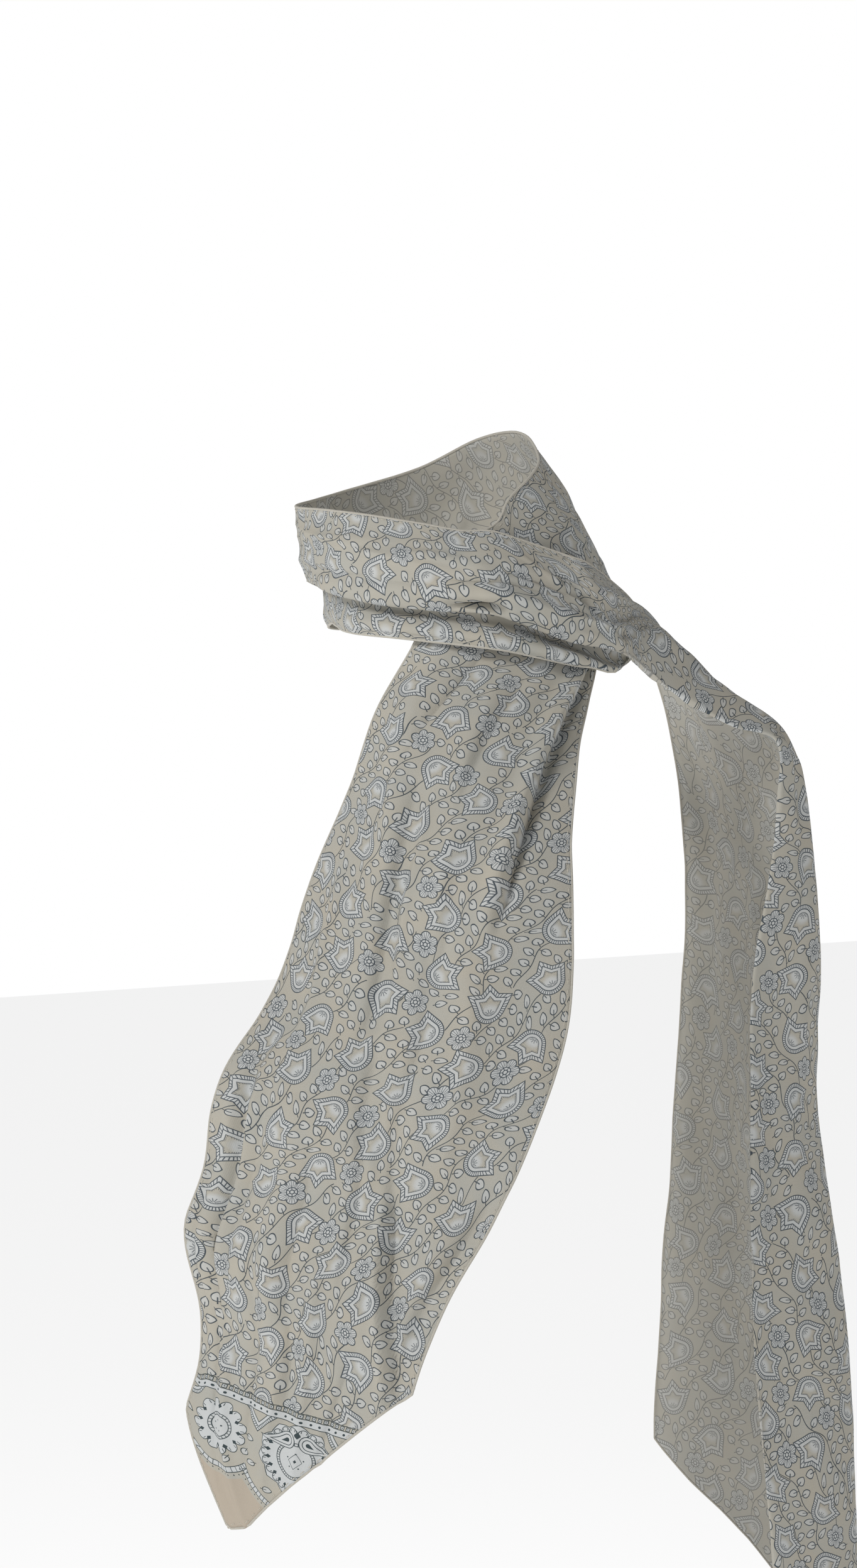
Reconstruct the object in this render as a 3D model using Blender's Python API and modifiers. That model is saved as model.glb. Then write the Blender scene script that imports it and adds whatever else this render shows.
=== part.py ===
"""A long cotton scarf wound once round a neck, with one end down the chest and one down the back.

Metres, +Z up. The wearer faces -Y and their left side is +X. The origin is the middle of the
neck at the height where the scarf holds on. Each stretch is an open cloth surface, drawn
through its own table of sections, and then given the wall of the cloth.
"""

import bpy
import numpy as np

COLLECTION_NAME = "cotton_scarf"

# The tables below are in centimetres and degrees
CENTIMETRE = 0.01

# Cloth
CLOTH_WALL = 0.0012
GROUND_COLOUR = (0.58, 0.54, 0.46, 1.0)
CLOTH_ROUGHNESS = 0.85

# Gaps left where one stretch meets the next: in centimetres at the foot of the nape turn, in
# degrees at the throat's start, and as a share of a section at each end of the shoulder run
FOOT_GAP = 0.04
THROAT_GAP = 0.3
SHOULDER_GAP = 0.034

# Throat wrap, across it: where the upper band swells, as shares of the way to its lip; the fold
# laid in behind the lip, up and back, as shares of the lap; the start of the lower band, down
# as a share of its depth and back as a share of the lap; where the lower band is fullest, and
# how far its hem turns in
BAND_SWELLS = (0.35, 0.75)
LAP_TURNS = ((0.35, 0.35), (0.85, 0.60))
LOWER_START = (0.15, 0.85)
LOWER_FULLEST = 0.3
HEM_TURN = 0.15

# The layer folded under at the lip: share of the way back to the crown, and share of its depth
UNDER_LAYER = ((0.1, 0.45), (0.3, 0.6), (0.5, 0.7), (0.65, 0.8), (0.8, 0.9))

# A fold rises from its end as this power of a half wave
FOLD_EASE = 0.6

# The neck leans forward as it rises, by this share of the height
NECK_LEAN = 0.18

# Swell of the upper layer, and depth of the layer folded under, on the shoulder run and the
# back tail
SHOULDER_BULGE = (0.0, 0.0, 0.2)
SHOULDER_UNDER = (-0.2, 0.0, -0.6)
BACK_BULGE = (0.0, 0.5, 0.0)
BACK_UNDER = (-0.9, 0.0, 0.0)

# Rows of points along each stretch, and columns across it
FRONT_ROWS, FRONT_COLUMNS = 42, 22
NAPE_ROWS, NAPE_COLUMNS = 34, 9
THROAT_ROWS, THROAT_COLUMNS = 26, 26
SHOULDER_ROWS, SHOULDER_COLUMNS = 16, 26
BACK_ROWS, BACK_COLUMNS = 36, 26

# Front tail: both edges of each row across the cloth, and how far the row bows out from the
# straight line between them. Above the first row the tail runs up to the nape turn's foot,
# between these two turns round the neck
FRONT_TOP_TURNS = (-48.0, 30.0)
FRONT_SECTIONS = """
inner_x inner_y inner_z outer_x outer_y outer_z  bow
   4.15   -4.75   -2.4     7.0     3.0    -3.8   1.3
   3.5    -6.5    -5.5     9.3     0.4    -7.0   1.6
   3.2    -7.8    -9.3    11.5    -1.7   -10.6   2.2
   2.8    -9.3   -12.9    13.1    -2.8   -14.2   2.5
   3.1   -11.5   -17.6    14.1    -3.9   -18.9   2.5
   3.0   -14.1   -21.2    14.4    -5.8   -23.0   2.1
   2.9   -14.9   -24.9    14.2    -7.7   -26.6   1.6
   2.6   -15.7   -28.1    13.5    -9.8   -30.2   1.2
   3.3   -15.5   -31.8    12.9   -11.1   -33.9   1.0
   3.2   -16.2   -36.5    12.2   -12.0   -38.9   0.8
   4.4   -15.9   -40.5    11.8   -12.4   -43.0   0.7
"""

# Where the pointed end of the front tail is cut: the section number at each share across
FRONT_END = """
across section
  0.0   10.1
  0.17  10.85
  0.32  10.70
  1.0    9.0
"""

# Folds of the front tail: the section and the share across where each begins and ends, how
# far it stands out of the cloth (a valley goes in), and its half width
FRONT_FOLDS = """
from_section from_across to_section to_across  height width
     0.6        0.87        3.9       0.76      0.55   0.55
     0.6        0.97        3.2       0.93     -0.25   0.60
     0.7        0.10        3.6       0.30      0.30   0.90
     2.9        0.37        5.0       0.43     -0.35   0.80
     4.6        0.70        6.4       0.80      0.30   1.10
     5.3        0.47        8.4       0.86     -0.45   1.20
     6.0        0.30        9.6       0.45      0.40   1.20
     5.2        0.07        9.2       0.14     -0.55   1.10
     6.6        0.97        9.0       0.93     -0.35   0.60
"""

# Nape turn, from the leaning neck: turn from the wearer's left, height and reach of the top
# edge, reach halfway down, height and reach of the foot
NAPE_SECTIONS = """
turn  top_z top_out waist_out foot_z foot_out
 -48   1.6    5.9     6.1      -1.0    6.35
 -14   2.5    5.8     6.2      -1.0    6.4
   0   3.8    5.5     6.2      -1.0    6.5
  20   4.8    5.2     6.3      -1.1    6.8
  40   5.6    5.0     6.5      -1.7    7.5
  65   6.5    4.9     6.8      -2.6    8.4
  90   7.0    4.9     6.9      -3.2    8.8
 120   6.6    5.1     6.9      -3.0    8.6
 150   5.4    5.6     6.9      -2.6    8.1
 180   4.5    6.0     6.9      -2.2    7.5
 205   3.9    6.4     6.7      -2.0    6.9
"""

# Folds of the nape turn: turns and shares down the cloth between which each runs
NAPE_FOLDS = """
from_turn from_down to_turn to_down  height width
   30       0.30      85      0.75    0.30   0.80
   55       0.10     120      0.50   -0.25   0.80
  100       0.75     175      0.35    0.35   0.90
  130       0.20     200      0.55   -0.25   0.80
"""

# Throat wrap, from the leaning neck: top edge, swell of the upper band, its lip, the lower
# band's hem, and how far the fold behind the lip is laid in
THROAT_SECTIONS = """
turn  top_z top_out swell  lip_z lip_out  hem_z hem_out  lap
 205   3.9    6.4    0.1   -0.4    6.7    -2.0    6.8    0.1
 235   3.5    6.6    0.1    0.1    6.5    -1.8    5.8    0.8
 274   3.35   6.5    0.3   -0.6    6.9    -2.1    6.4    1.0
 301   3.05   6.4    0.5   -1.05   7.45   -2.3    7.2    1.0
 330   2.45   6.4    0.6   -1.4    7.8    -2.65   7.6    1.0
 344   2.4    6.6    0.6   -1.6    7.9    -2.9    7.7    1.0
 360   1.8    6.9    0.5   -2.3    8.1    -3.35   7.95   1.0
 370   1.35   7.2    0.4   -2.7    8.35   -3.6    8.15   0.9
 380   0.85   7.6    0.3   -3.1    8.9    -3.85   8.6    0.8
"""

# Shoulder run: the inner edge by the neck, the crown and the near lip
SHOULDER_SECTIONS = """
inner_x inner_y inner_z crown_x crown_y crown_z  lip_x  lip_y  lip_z
  4.2     7.5    -1.2     7.1     6.0    -1.3     9.3    4.4   -3.9
  2.4     9.3    -2.4     7.9     7.5    -3.1    10.3    5.8   -5.0
  1.2    10.6    -3.9     9.0     9.3    -4.8    11.1    7.6   -6.1
  1.0    11.7    -5.9    10.2    11.3    -6.7    11.6    9.7   -6.85
"""

# Back tail: height, the far edge by the spine, the corner and the near fold
BACK_SECTIONS = """
height  far_x far_y corner_x corner_y near_x near_y
 -9.4    1.3  12.4    10.8     12.1    11.6   10.0
-13.3    1.5  12.5    11.0     12.4    11.8    9.3
-18.0    1.4  12.5    11.2     12.6    12.1    8.2
-24.0    1.1  12.4    11.4     12.3    12.6    7.8
-29.0    0.9  12.1    12.0     12.6    13.0    7.5
-35.0    0.6  11.7    12.6     13.0    13.4    7.5
-42.0    0.7  11.4    13.2     13.2    14.0    7.9
-52.0    1.5  11.6    13.7     13.2    14.2    9.0
"""

# Lengthwise folds of the shoulder run and the back tail: the section counted from the run's
# first, the rail across from 0 at the inner edge, how far each stands out, and its half width
RUN_FOLDS = """
from_section from_rail to_section to_rail  height width
    -1.5        1.0       2.5       0.9     0.30   0.70
     0.2        0.6       5.5       0.7    -0.30   0.80
     2.0        1.3       9.0       1.5     0.35   0.90
     3.0        0.2       9.5       0.35    0.40   0.90
     5.0        1.0      10.0       1.0    -0.35   0.90
"""

# Where the pointed end of the back tail is cut: the height at each rail across, from 0 at the
# far edge, past 2 at the corner and 3 at the near fold, to the turned-in edge
BACK_END = """
rail height
 0   -40.6
 1   -45.3
 2   -51.0
 3   -49.0
 8   -46.0
"""


def table(text):
    """The columns of a table, by name."""
    lines = [line.split() for line in text.strip().splitlines()]
    values = np.array([[float(word) for word in line] for line in lines[1:]])
    return {name: values[:, column] for column, name in enumerate(lines[0])}


def curve_through(knots, values, at):
    """Smooth curve through values (first axis) at rising knots, read at the places asked."""
    knots = np.asarray(knots, float)
    values = np.asarray(values, float)
    at = np.clip(np.asarray(at, float), knots[0], knots[-1])
    span = np.diff(knots)
    shape = (-1,) + (1,) * (values.ndim - 1)
    slope = np.diff(values, axis=0) / span.reshape(shape)
    tangent = np.empty_like(values)
    tangent[0] = slope[0]
    tangent[-1] = slope[-1]
    before, after = span[:-1].reshape(shape), span[1:].reshape(shape)
    tangent[1:-1] = (slope[:-1] * after + slope[1:] * before) / (before + after)
    k = np.clip(np.searchsorted(knots, at, side="right") - 1, 0, len(span) - 1)
    part = ((at - knots[k]) / span[k]).reshape(shape)
    size = span[k].reshape(shape)
    square, cube = part**2, part**3
    return (
        (2 * cube - 3 * square + 1) * values[k]
        + (cube - 2 * square + part) * size * tangent[k]
        + (3 * square - 2 * cube) * values[k + 1]
        + (cube - square) * size * tangent[k + 1]
    )


def around_neck(turn, height, reach):
    """Points at a turn and reach from the leaning neck."""
    angle = np.radians(turn)
    across = reach * np.cos(angle)
    along = reach * np.sin(angle) - NECK_LEAN * height
    return np.stack(np.broadcast_arrays(across, along, height), axis=-1)


def points_of(rows, name):
    """The three columns that hold a point, such as lip_x, lip_y and lip_z."""
    return np.stack([rows[f"{name}_{axis}"] for axis in "xyz"], axis=1)


def facings(grid):
    """The unit facing of the cloth at each point of a grid of rows and columns."""
    down = np.gradient(grid, axis=0)
    across = np.gradient(grid, axis=1)
    facing = np.cross(across, down)
    return facing / np.linalg.norm(facing, axis=2, keepdims=True)


def with_folds(grid, along, across, folds, names):
    """The grid with each soft ridge or valley raised along the cloth's facing.

    along and across say where each point lies, in the measures that the fold table's
    columns, listed in names, use.
    """
    step = np.linalg.norm(np.diff(grid, axis=1), axis=2)
    travelled = np.concatenate([np.zeros((len(grid), 1)), np.cumsum(step, axis=1)], axis=1)
    facing = facings(grid)
    raised = grid.copy()
    starts, start_places, ends, end_places = (folds[name] for name in names)
    for k, height in enumerate(folds["height"]):
        passed = (along - starts[k]) / (ends[k] - starts[k])
        ease = np.sin(np.pi * np.clip(passed, 0, 1)) ** FOLD_EASE
        place = start_places[k] + passed * (end_places[k] - start_places[k])
        for row, crest in enumerate(place):
            middle = np.interp(crest, across, travelled[row])
            away = (travelled[row] - middle) / folds["width"][k]
            lift = height * ease[row] * np.exp(-(away**2))
            raised[row] += facing[row] * lift[:, None]
    return raised


def across_rails(sections, columns):
    """Points across each section, on a smooth curve through its rails."""
    rails = sections.shape[1]
    at = np.linspace(0, rails - 1, columns)
    return np.swapaxes(curve_through(np.arange(rails), np.swapaxes(sections, 0, 1), at), 0, 1)


def front_sections(share):
    """Points at each share across every section of the front tail, from its top arc down."""
    rows, nape = table(FRONT_SECTIONS), table(NAPE_SECTIONS)
    turn = FRONT_TOP_TURNS[0] + share * (FRONT_TOP_TURNS[1] - FRONT_TOP_TURNS[0])
    foot_z = curve_through(nape["turn"], nape["foot_z"], turn) - FOOT_GAP
    foot_out = curve_through(nape["turn"], nape["foot_out"], turn)
    sections = [around_neck(turn, foot_z, foot_out)]
    for inner, outer, bow in zip(points_of(rows, "inner"), points_of(rows, "outer"), rows["bow"]):
        side = outer - inner
        out = np.array([side[1], -side[0], 0.0])
        out *= bow / np.linalg.norm(out)
        swell = 4 * share * (1 - share)
        sections.append(inner + side * share[:, None] + out * swell[:, None])
    return np.array(sections)


def front_tail_grid():
    """Rows of points down the front tail, the last one along its pointed end."""
    end = table(FRONT_END)
    share = np.linspace(0, 1, FRONT_COLUMNS)
    last = np.interp(share, end["across"], end["section"])
    at = np.linspace(0, 1, FRONT_ROWS)[:, None] * last
    sections = front_sections(share)
    numbers = np.arange(len(sections))
    columns = [curve_through(numbers, sections[:, k], at[:, k]) for k in range(len(share))]
    names = ("from_section", "from_across", "to_section", "to_across")
    return with_folds(np.stack(columns, axis=1), at, share, table(FRONT_FOLDS), names)


def nape_turn_grid():
    """Rows of points round the nape, each from its top edge to its foot."""
    rows = table(NAPE_SECTIONS)
    turns = np.linspace(rows["turn"][0], rows["turn"][-1], NAPE_ROWS)
    read = {name: curve_through(rows["turn"], rows[name], turns) for name in rows}
    middle = (read["top_z"] + read["foot_z"]) / 2
    rails = [
        around_neck(turns, read["top_z"], read["top_out"]),
        around_neck(turns, middle, read["waist_out"]),
        around_neck(turns, read["foot_z"], read["foot_out"]),
    ]
    grid = across_rails(np.stack(rails, axis=1), NAPE_COLUMNS)
    at = np.repeat(turns[:, None], NAPE_COLUMNS, axis=1)
    down = np.linspace(0, 1, NAPE_COLUMNS)
    names = ("from_turn", "from_down", "to_turn", "to_down")
    return with_folds(grid, at, down, table(NAPE_FOLDS), names)


def throat_sections():
    """Nine points across each throat section: the upper band, its lip, the lap and the hem."""
    row = table(THROAT_SECTIONS)
    top_z, top_out = row["top_z"], row["top_out"]
    lip_z, lip_out, lap = row["lip_z"], row["lip_out"], row["lap"]
    hem_z, hem_out = row["hem_z"], row["hem_out"]
    places = [(top_z, top_out)]
    for share in BAND_SWELLS:
        reach = top_out + share * (lip_out - top_out) + row["swell"]
        places.append((top_z - share * (top_z - lip_z), reach))
    places.append((lip_z, lip_out))
    for up, back in LAP_TURNS:
        places.append((lip_z + up * lap, lip_out - back * lap))
    down, back = LOWER_START
    places.append((lip_z - down * (lip_z - hem_z), lip_out - back * lap))
    places.append((hem_z + LOWER_FULLEST * (lip_z - hem_z), hem_out))
    places.append((hem_z, hem_out - HEM_TURN))
    rails = [around_neck(row["turn"], height, reach) for height, reach in places]
    return np.stack(rails, axis=1)


def folded_sections(inner, crown, lip, bulge, under):
    """Nine points across sections that are folded under at the lip, towards the crown."""
    rails = [inner, (inner + crown) / 2 + bulge, crown, lip]
    for share, depth in UNDER_LAYER:
        rails.append(lip + (crown - lip) * share + np.array(under) * depth)
    return np.stack(rails, axis=1)


def winding_sections():
    """Every section from the throat to the end of the back tail, and where each part begins."""
    throat = throat_sections()
    row = table(SHOULDER_SECTIONS)
    inner, crown, lip = (points_of(row, name) for name in ("inner", "crown", "lip"))
    shoulder = folded_sections(inner, crown, lip, SHOULDER_BULGE, SHOULDER_UNDER)
    row = table(BACK_SECTIONS)
    for name in ("far", "corner", "near"):
        row[f"{name}_z"] = row["height"]
    far, corner, near = (points_of(row, name) for name in ("far", "corner", "near"))
    back = folded_sections(far, corner, near, BACK_BULGE, BACK_UNDER)
    joined = np.concatenate([throat, shoulder, back])
    return joined, len(throat) - 1, len(throat) + len(shoulder) - 1


def winding_grid(start, end, rows, columns):
    """Rows of points from one section number to another along the winding stretches.

    The end may differ for each column, as where the cloth's end is cut to a point.
    """
    sections, shoulder_start, _ = winding_sections()
    numbers = np.arange(len(sections))
    across = np.linspace(0, sections.shape[1] - 1, columns)
    crossed = np.swapaxes(sections, 0, 1)
    crossed = curve_through(np.arange(len(crossed)), crossed, across)
    last = np.broadcast_to(end, (columns,))
    at = start + np.linspace(0, 1, rows)[:, None] * (last - start)
    lines = [curve_through(numbers, crossed[k], at[:, k]) for k in range(columns)]
    names = ("from_section", "from_rail", "to_section", "to_rail")
    grid = np.stack(lines, axis=1)
    return with_folds(grid, at - shoulder_start, across, table(RUN_FOLDS), names)


def back_end_sections(columns):
    """The section number where each column of the back tail reaches its pointed end."""
    sections, _, back_start = winding_sections()
    end = table(BACK_END)
    across = np.linspace(0, sections.shape[1] - 1, columns)
    height = np.interp(across, end["rail"], end["height"])
    levels = table(BACK_SECTIONS)["height"]
    numbers = back_start + 1 + np.arange(len(levels))
    return np.interp(-height, -levels, numbers)


def stretches():
    """The grid of points of each stretch, by its name."""
    _, shoulder_start, back_start = winding_sections()
    angle = table(THROAT_SECTIONS)["turn"]
    throat_start = THROAT_GAP / (angle[1] - angle[0])
    back_end = back_end_sections(BACK_COLUMNS)
    throat = (throat_start, shoulder_start, THROAT_ROWS, THROAT_COLUMNS)
    shoulder = (shoulder_start + SHOULDER_GAP, back_start, SHOULDER_ROWS, SHOULDER_COLUMNS)
    back = (back_start + SHOULDER_GAP, back_end, BACK_ROWS, BACK_COLUMNS)
    return {
        "front_tail": front_tail_grid(),
        "nape_turn": nape_turn_grid(),
        "throat_wrap": winding_grid(*throat),
        "shoulder_run": winding_grid(*shoulder),
        "back_tail": winding_grid(*back),
    }


def clear_scene():
    """Remove every object that is in the scene."""
    for item in list(bpy.data.objects):
        bpy.data.objects.remove(item, do_unlink=True)


def cloth_material(name):
    """Plain printed cotton, seen from a distance."""
    material = bpy.data.materials.new(name)
    material.use_nodes = True
    shader = material.node_tree.nodes["Principled BSDF"]
    shader.inputs["Base Color"].default_value = GROUND_COLOUR
    shader.inputs["Roughness"].default_value = CLOTH_ROUGHNESS
    shader.inputs["Metallic"].default_value = 0.0
    material.diffuse_color = GROUND_COLOUR
    return material


def add_cloth(collection, name, grid):
    """An open cloth surface over the grid of points, with the wall of the cloth."""
    rows, columns = grid.shape[:2]
    mesh = bpy.data.meshes.new(name)
    corner = np.arange(rows * columns).reshape(rows, columns)
    faces = np.stack(
        [corner[:-1, :-1], corner[1:, :-1], corner[1:, 1:], corner[:-1, 1:]], axis=-1
    )
    points = grid.reshape(-1, 3) * CENTIMETRE
    mesh.from_pydata(points.tolist(), [], faces.reshape(-1, 4).tolist())
    mesh.shade_smooth()
    mesh.materials.append(cloth_material(f"{name}_cotton"))
    piece = bpy.data.objects.new(name, mesh)
    collection.objects.link(piece)
    wall = piece.modifiers.new("wall", "SOLIDIFY")
    wall.thickness = CLOTH_WALL
    wall.offset = 0.0
    wall.use_rim = True
    return piece


def main():
    clear_scene()
    collection = bpy.data.collections.new(COLLECTION_NAME)
    bpy.context.scene.collection.children.link(collection)
    for name, grid in stretches().items():
        add_cloth(collection, name, grid)


main()
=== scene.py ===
"""The looks of a long printed cotton scarf, wound once round a neck.

The cloth is drawn from tables in centimetres and degrees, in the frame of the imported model: +Z up,
the wearer faces -Y, their left side is +X. Two thin shells make the whole scarf: the front tail,
and the winding that runs from the nape round the throat, over the shoulder and down the back. The
print is worked out in the materials from the cloth's own flat sizes.
"""

import math

import bpy
import numpy as np
from bpy.props import FloatProperty, FloatVectorProperty, PointerProperty
from mathutils import Matrix, Vector


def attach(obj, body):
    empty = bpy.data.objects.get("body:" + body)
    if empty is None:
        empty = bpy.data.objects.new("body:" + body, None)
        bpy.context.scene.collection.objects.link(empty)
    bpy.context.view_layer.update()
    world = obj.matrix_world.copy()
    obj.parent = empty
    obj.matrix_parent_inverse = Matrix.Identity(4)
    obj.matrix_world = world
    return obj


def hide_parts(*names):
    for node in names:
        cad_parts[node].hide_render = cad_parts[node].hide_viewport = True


bl_info = {
    "name": "Printed cotton scarf",
    "version": (1, 0, 0),
    "blender": (4, 5, 0),
    "location": "View3D > Sidebar > Scarf",
    "description": "Builds a worn cotton scarf with its print, hems and stitches",
    "category": "Add Mesh",
}

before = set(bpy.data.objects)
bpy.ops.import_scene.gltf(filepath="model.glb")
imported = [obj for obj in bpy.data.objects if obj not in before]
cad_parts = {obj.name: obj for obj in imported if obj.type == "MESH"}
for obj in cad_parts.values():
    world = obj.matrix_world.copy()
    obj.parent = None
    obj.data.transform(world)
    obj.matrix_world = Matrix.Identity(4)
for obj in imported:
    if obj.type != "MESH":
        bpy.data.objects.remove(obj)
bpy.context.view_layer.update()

BODY = "root"
CENTIMETRE = 0.01
FULL_TURN = 2 * math.pi

# The neck leans forward as it rises, by this share of the height
NECK_LEAN = 0.18

# The front tail's top edge: the turns round the neck between which it hangs, how far it is
# tucked up behind the throat wrap, and how far outside the nape turn it lies
FRONT_TOP_TURNS = (-48.0, 30.0)
FRONT_TUCK = 0.5
FRONT_CLEAR = 0.20

# Front tail: both edges of each row across the cloth, and how far the row bows out from the
# straight line between them
FRONT_SECTIONS = """
inner_x inner_y inner_z outer_x outer_y outer_z bow
4.15 -4.75  -2.4  7.0   3.0  -3.8 1.3
 3.5  -6.5  -5.5  9.3   0.4  -7.0 1.6
 3.2  -7.8  -9.3 11.5  -1.7 -10.6 2.2
 2.8  -9.3 -12.9 13.1  -2.8 -14.2 2.5
 3.1 -11.5 -17.6 14.1  -3.9 -18.9 2.5
 3.0 -14.1 -21.2 14.4  -5.8 -23.0 2.1
 2.9 -14.9 -24.9 14.2  -7.7 -26.6 1.6
 2.6 -15.7 -28.1 13.5  -9.8 -30.2 1.2
 3.3 -15.5 -31.8 12.9 -11.1 -33.9 1.0
 3.2 -16.2 -36.5 12.2 -12.0 -38.9 0.8
 4.4 -15.9 -40.5 11.8 -12.4 -43.0 0.7
"""

# Where the pointed end of the front tail is cut: the section number at each share across
FRONT_END = """
across section
 0.0  9.85
0.17 10.85
0.32 10.70
 1.0   9.0
"""

# Folds of the front tail: the section and the share across where each begins and ends, how
# far it stands out of the cloth (a valley goes in), and its half width
FRONT_FOLDS = """
from_section from_across to_section to_across height width
0.5  0.93  4.2  0.72  0.62 0.50
0.7  0.10  3.6  0.30  0.36 0.80
2.6  0.37  5.2  0.43 -0.50 0.60
4.4  0.70  6.6  0.80  0.38 0.90
5.3  0.47  8.4  0.86 -0.55 0.90
6.0  0.30  9.8  0.45  0.50 0.95
5.2  0.07  9.2  0.14 -0.45 0.90
6.6  0.97  9.0  0.93 -0.40 0.50
0.4 0.985  4.2 0.775 -0.62 0.27
0.8  0.84  4.6  0.73  0.20 0.30
1.0  0.62  3.6  0.52 -0.20 0.40
0.7  0.36  2.8  0.22 -0.24 0.35
1.2  0.48  4.4  0.60  0.20 0.50
1.6  0.22  4.4  0.18 -0.16 0.35
2.6  0.33  5.6  0.41 -0.30 0.26
2.8  0.42  5.2  0.47  0.26 0.30
3.4  0.12  6.2  0.20  0.22 0.45
3.6  0.62  5.4  0.60 -0.16 0.40
4.2  0.55  6.8  0.66 -0.22 0.42
5.2  0.45  8.2  0.66 -0.30 0.28
5.4  0.52  7.6  0.72  0.20 0.30
6.7  0.62  9.4  0.93  0.28 0.28
6.9  0.68  9.3  0.98 -0.34 0.26
6.4  0.38  9.6  0.52 -0.24 0.34
7.6  0.55 10.2  0.60  0.24 0.36
8.6  0.76 10.2  0.66 -0.20 0.30
5.0  0.04  7.4  0.07  0.17 0.28
5.2  0.09  8.2  0.11 -0.20 0.25
5.1  0.13  8.8  0.15  0.22 0.28
5.6  0.18  8.6  0.20 -0.22 0.28
5.8  0.23  8.6  0.26  0.18 0.32
6.6  0.02  8.8  0.05 -0.14 0.26
7.4  0.30 10.4  0.36 -0.20 0.35
8.2  0.48 10.4  0.44  0.20 0.40
8.4  0.06 10.6  0.22 -0.14 0.40
8.8  0.14 10.8  0.32  0.26 0.30
"""

# Waves of the front tail's inner edge: the section of each, how far it reaches out and its
# half width; the share of the way across at which they have died out; and the column that
# the edge is pushed away from
FRONT_EDGE_WAVES = """
section reach width
 6.6  0.15 0.30
 7.9  0.20 0.30
 8.5 -0.25 0.25
9.25 -0.35 0.25
9.82  0.30 0.18
"""
EDGE_WAVE_SHARE = 0.22
EDGE_WAVE_COLUMN = 8

# Nape turn, from the leaning neck: turn from the wearer's left, height and reach of the top
# edge, reach halfway down, height and reach of the foot
NAPE_SECTIONS = """
turn top_z top_out waist_out foot_z foot_out
-48 1.6 5.9 6.1 -1.0 6.35
-14 2.5 5.8 6.2 -1.0  6.4
  0 3.8 5.5 6.2 -1.0  6.5
 20 4.8 5.2 6.3 -1.1  6.8
 40 5.6 5.0 6.5 -1.7  7.5
 65 6.5 4.9 6.8 -2.6  8.4
 90 7.0 4.9 6.9 -3.2  8.8
120 6.6 5.1 6.9 -3.0  8.6
150 5.4 5.6 6.9 -2.6  8.1
180 4.5 6.0 6.9 -2.2  7.5
"""

# Shares down the nape turn at which the winding's nine rails begin
NAPE_RAILS = (0.0, 0.255, 0.547, 0.70, 0.745, 0.79, 0.84, 0.92, 1.0)

# Throat wrap, from the leaning neck: top edge, swell of the upper band, its lip, the lower
# band's hem, and how far the fold behind the lip is laid in
THROAT_SECTIONS = """
turn top_z top_out swell lip_z lip_out hem_z hem_out lap
205  3.9 6.4 0.1  -0.2  6.7  -2.0  6.8 0.4
235  3.5 6.6 0.1   0.1  6.5  -1.8  5.8 0.8
274 3.35 6.5 0.3  -0.3  6.9  -2.1  6.4 1.0
301 3.05 6.4 0.5 -0.75 7.45  -2.3  7.2 1.0
330 2.45 6.4 0.6 -1.15  7.8 -2.65  7.6 1.0
344  2.4 6.6 0.6 -1.45  7.9  -2.9  7.7 1.0
360  1.8 6.9 0.5  -2.3  8.1 -3.35 7.95 1.0
370 1.35 7.2 0.4  -2.7 8.35  -3.6 8.15 0.9
380 0.85 7.6 0.3  -3.1  8.9 -3.85  8.6 0.8
"""

# Throat wrap, across it: where the upper band swells, as shares of the way to its lip; the fold
# laid in behind the lip, up and back, as shares of the lap; the start of the lower band, down
# as a share of its depth and back as a share of the lap; where the lower band is fullest, and
# how far its hem turns in
BAND_SWELLS = (0.35, 0.75)
LAP_TURNS = ((0.35, 0.35), (0.85, 0.60))
LOWER_START = (0.15, 0.85)
LOWER_FULLEST = 0.3
HEM_TURN = 0.15

# Shoulder run: the inner edge by the neck, the crown and the near lip
SHOULDER_SECTIONS = """
inner_x inner_y inner_z crown_x crown_y crown_z lip_x lip_y lip_z
4.2  7.5 -1.2  7.1  6.0 -1.7  9.3 4.4  -3.9
2.4  9.3 -2.4  7.9  7.5 -3.1 10.3 5.8  -5.0
1.2 10.6 -3.9  9.0  9.3 -4.8 11.1 7.6  -6.1
1.0 11.7 -5.9 10.2 11.3 -6.7 11.6 9.7 -6.85
"""

# Back tail: height, the far edge by the spine, the corner and the near fold
BACK_SECTIONS = """
height far_x far_y corner_x corner_y near_x near_y
 -9.4 1.3 12.4 10.8 12.1 11.6 10.0
-13.3 1.5 12.5 11.0 12.4 11.8  9.3
-18.0 1.4 12.5 11.2 12.6 12.1  8.2
-24.0 1.1 12.4 11.4 12.3 12.6  7.8
-29.0 0.9 12.1 12.0 12.6 13.0  7.5
-35.0 0.6 11.7 12.6 13.0 13.4  7.5
-42.0 0.7 11.4 13.2 13.2 14.0  7.9
-52.0 1.5 11.6 13.7 13.2 14.2  9.0
"""

# The layer folded under at the lip: share of the way back to the crown, and share of its depth
UNDER_LAYER = ((0.1, 0.45), (0.3, 0.6), (0.5, 0.7), (0.65, 0.8), (0.8, 0.9))

# Swell of the upper layer, and depth of the layer folded under, on the shoulder run and the
# back tail
SHOULDER_BULGE = (0.0, 0.0, 0.2)
SHOULDER_UNDER = (-0.2, 0.0, -0.6)
BACK_BULGE = (0.0, 0.5, 0.0)
BACK_UNDER = (-0.9, 0.0, 0.0)

# Where the pointed end of the back tail is cut: the height at each rail across, from 0 at the
# far edge, past 2 at the corner and 3 at the near fold, to the turned-in edge
BACK_END = """
rail height
0 -40.6
1 -45.3
2 -51.0
3 -49.0
8 -46.0
"""

# How many of the winding's rails, from its first, its length is taken along
SHOWN_RAILS = 4

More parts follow.
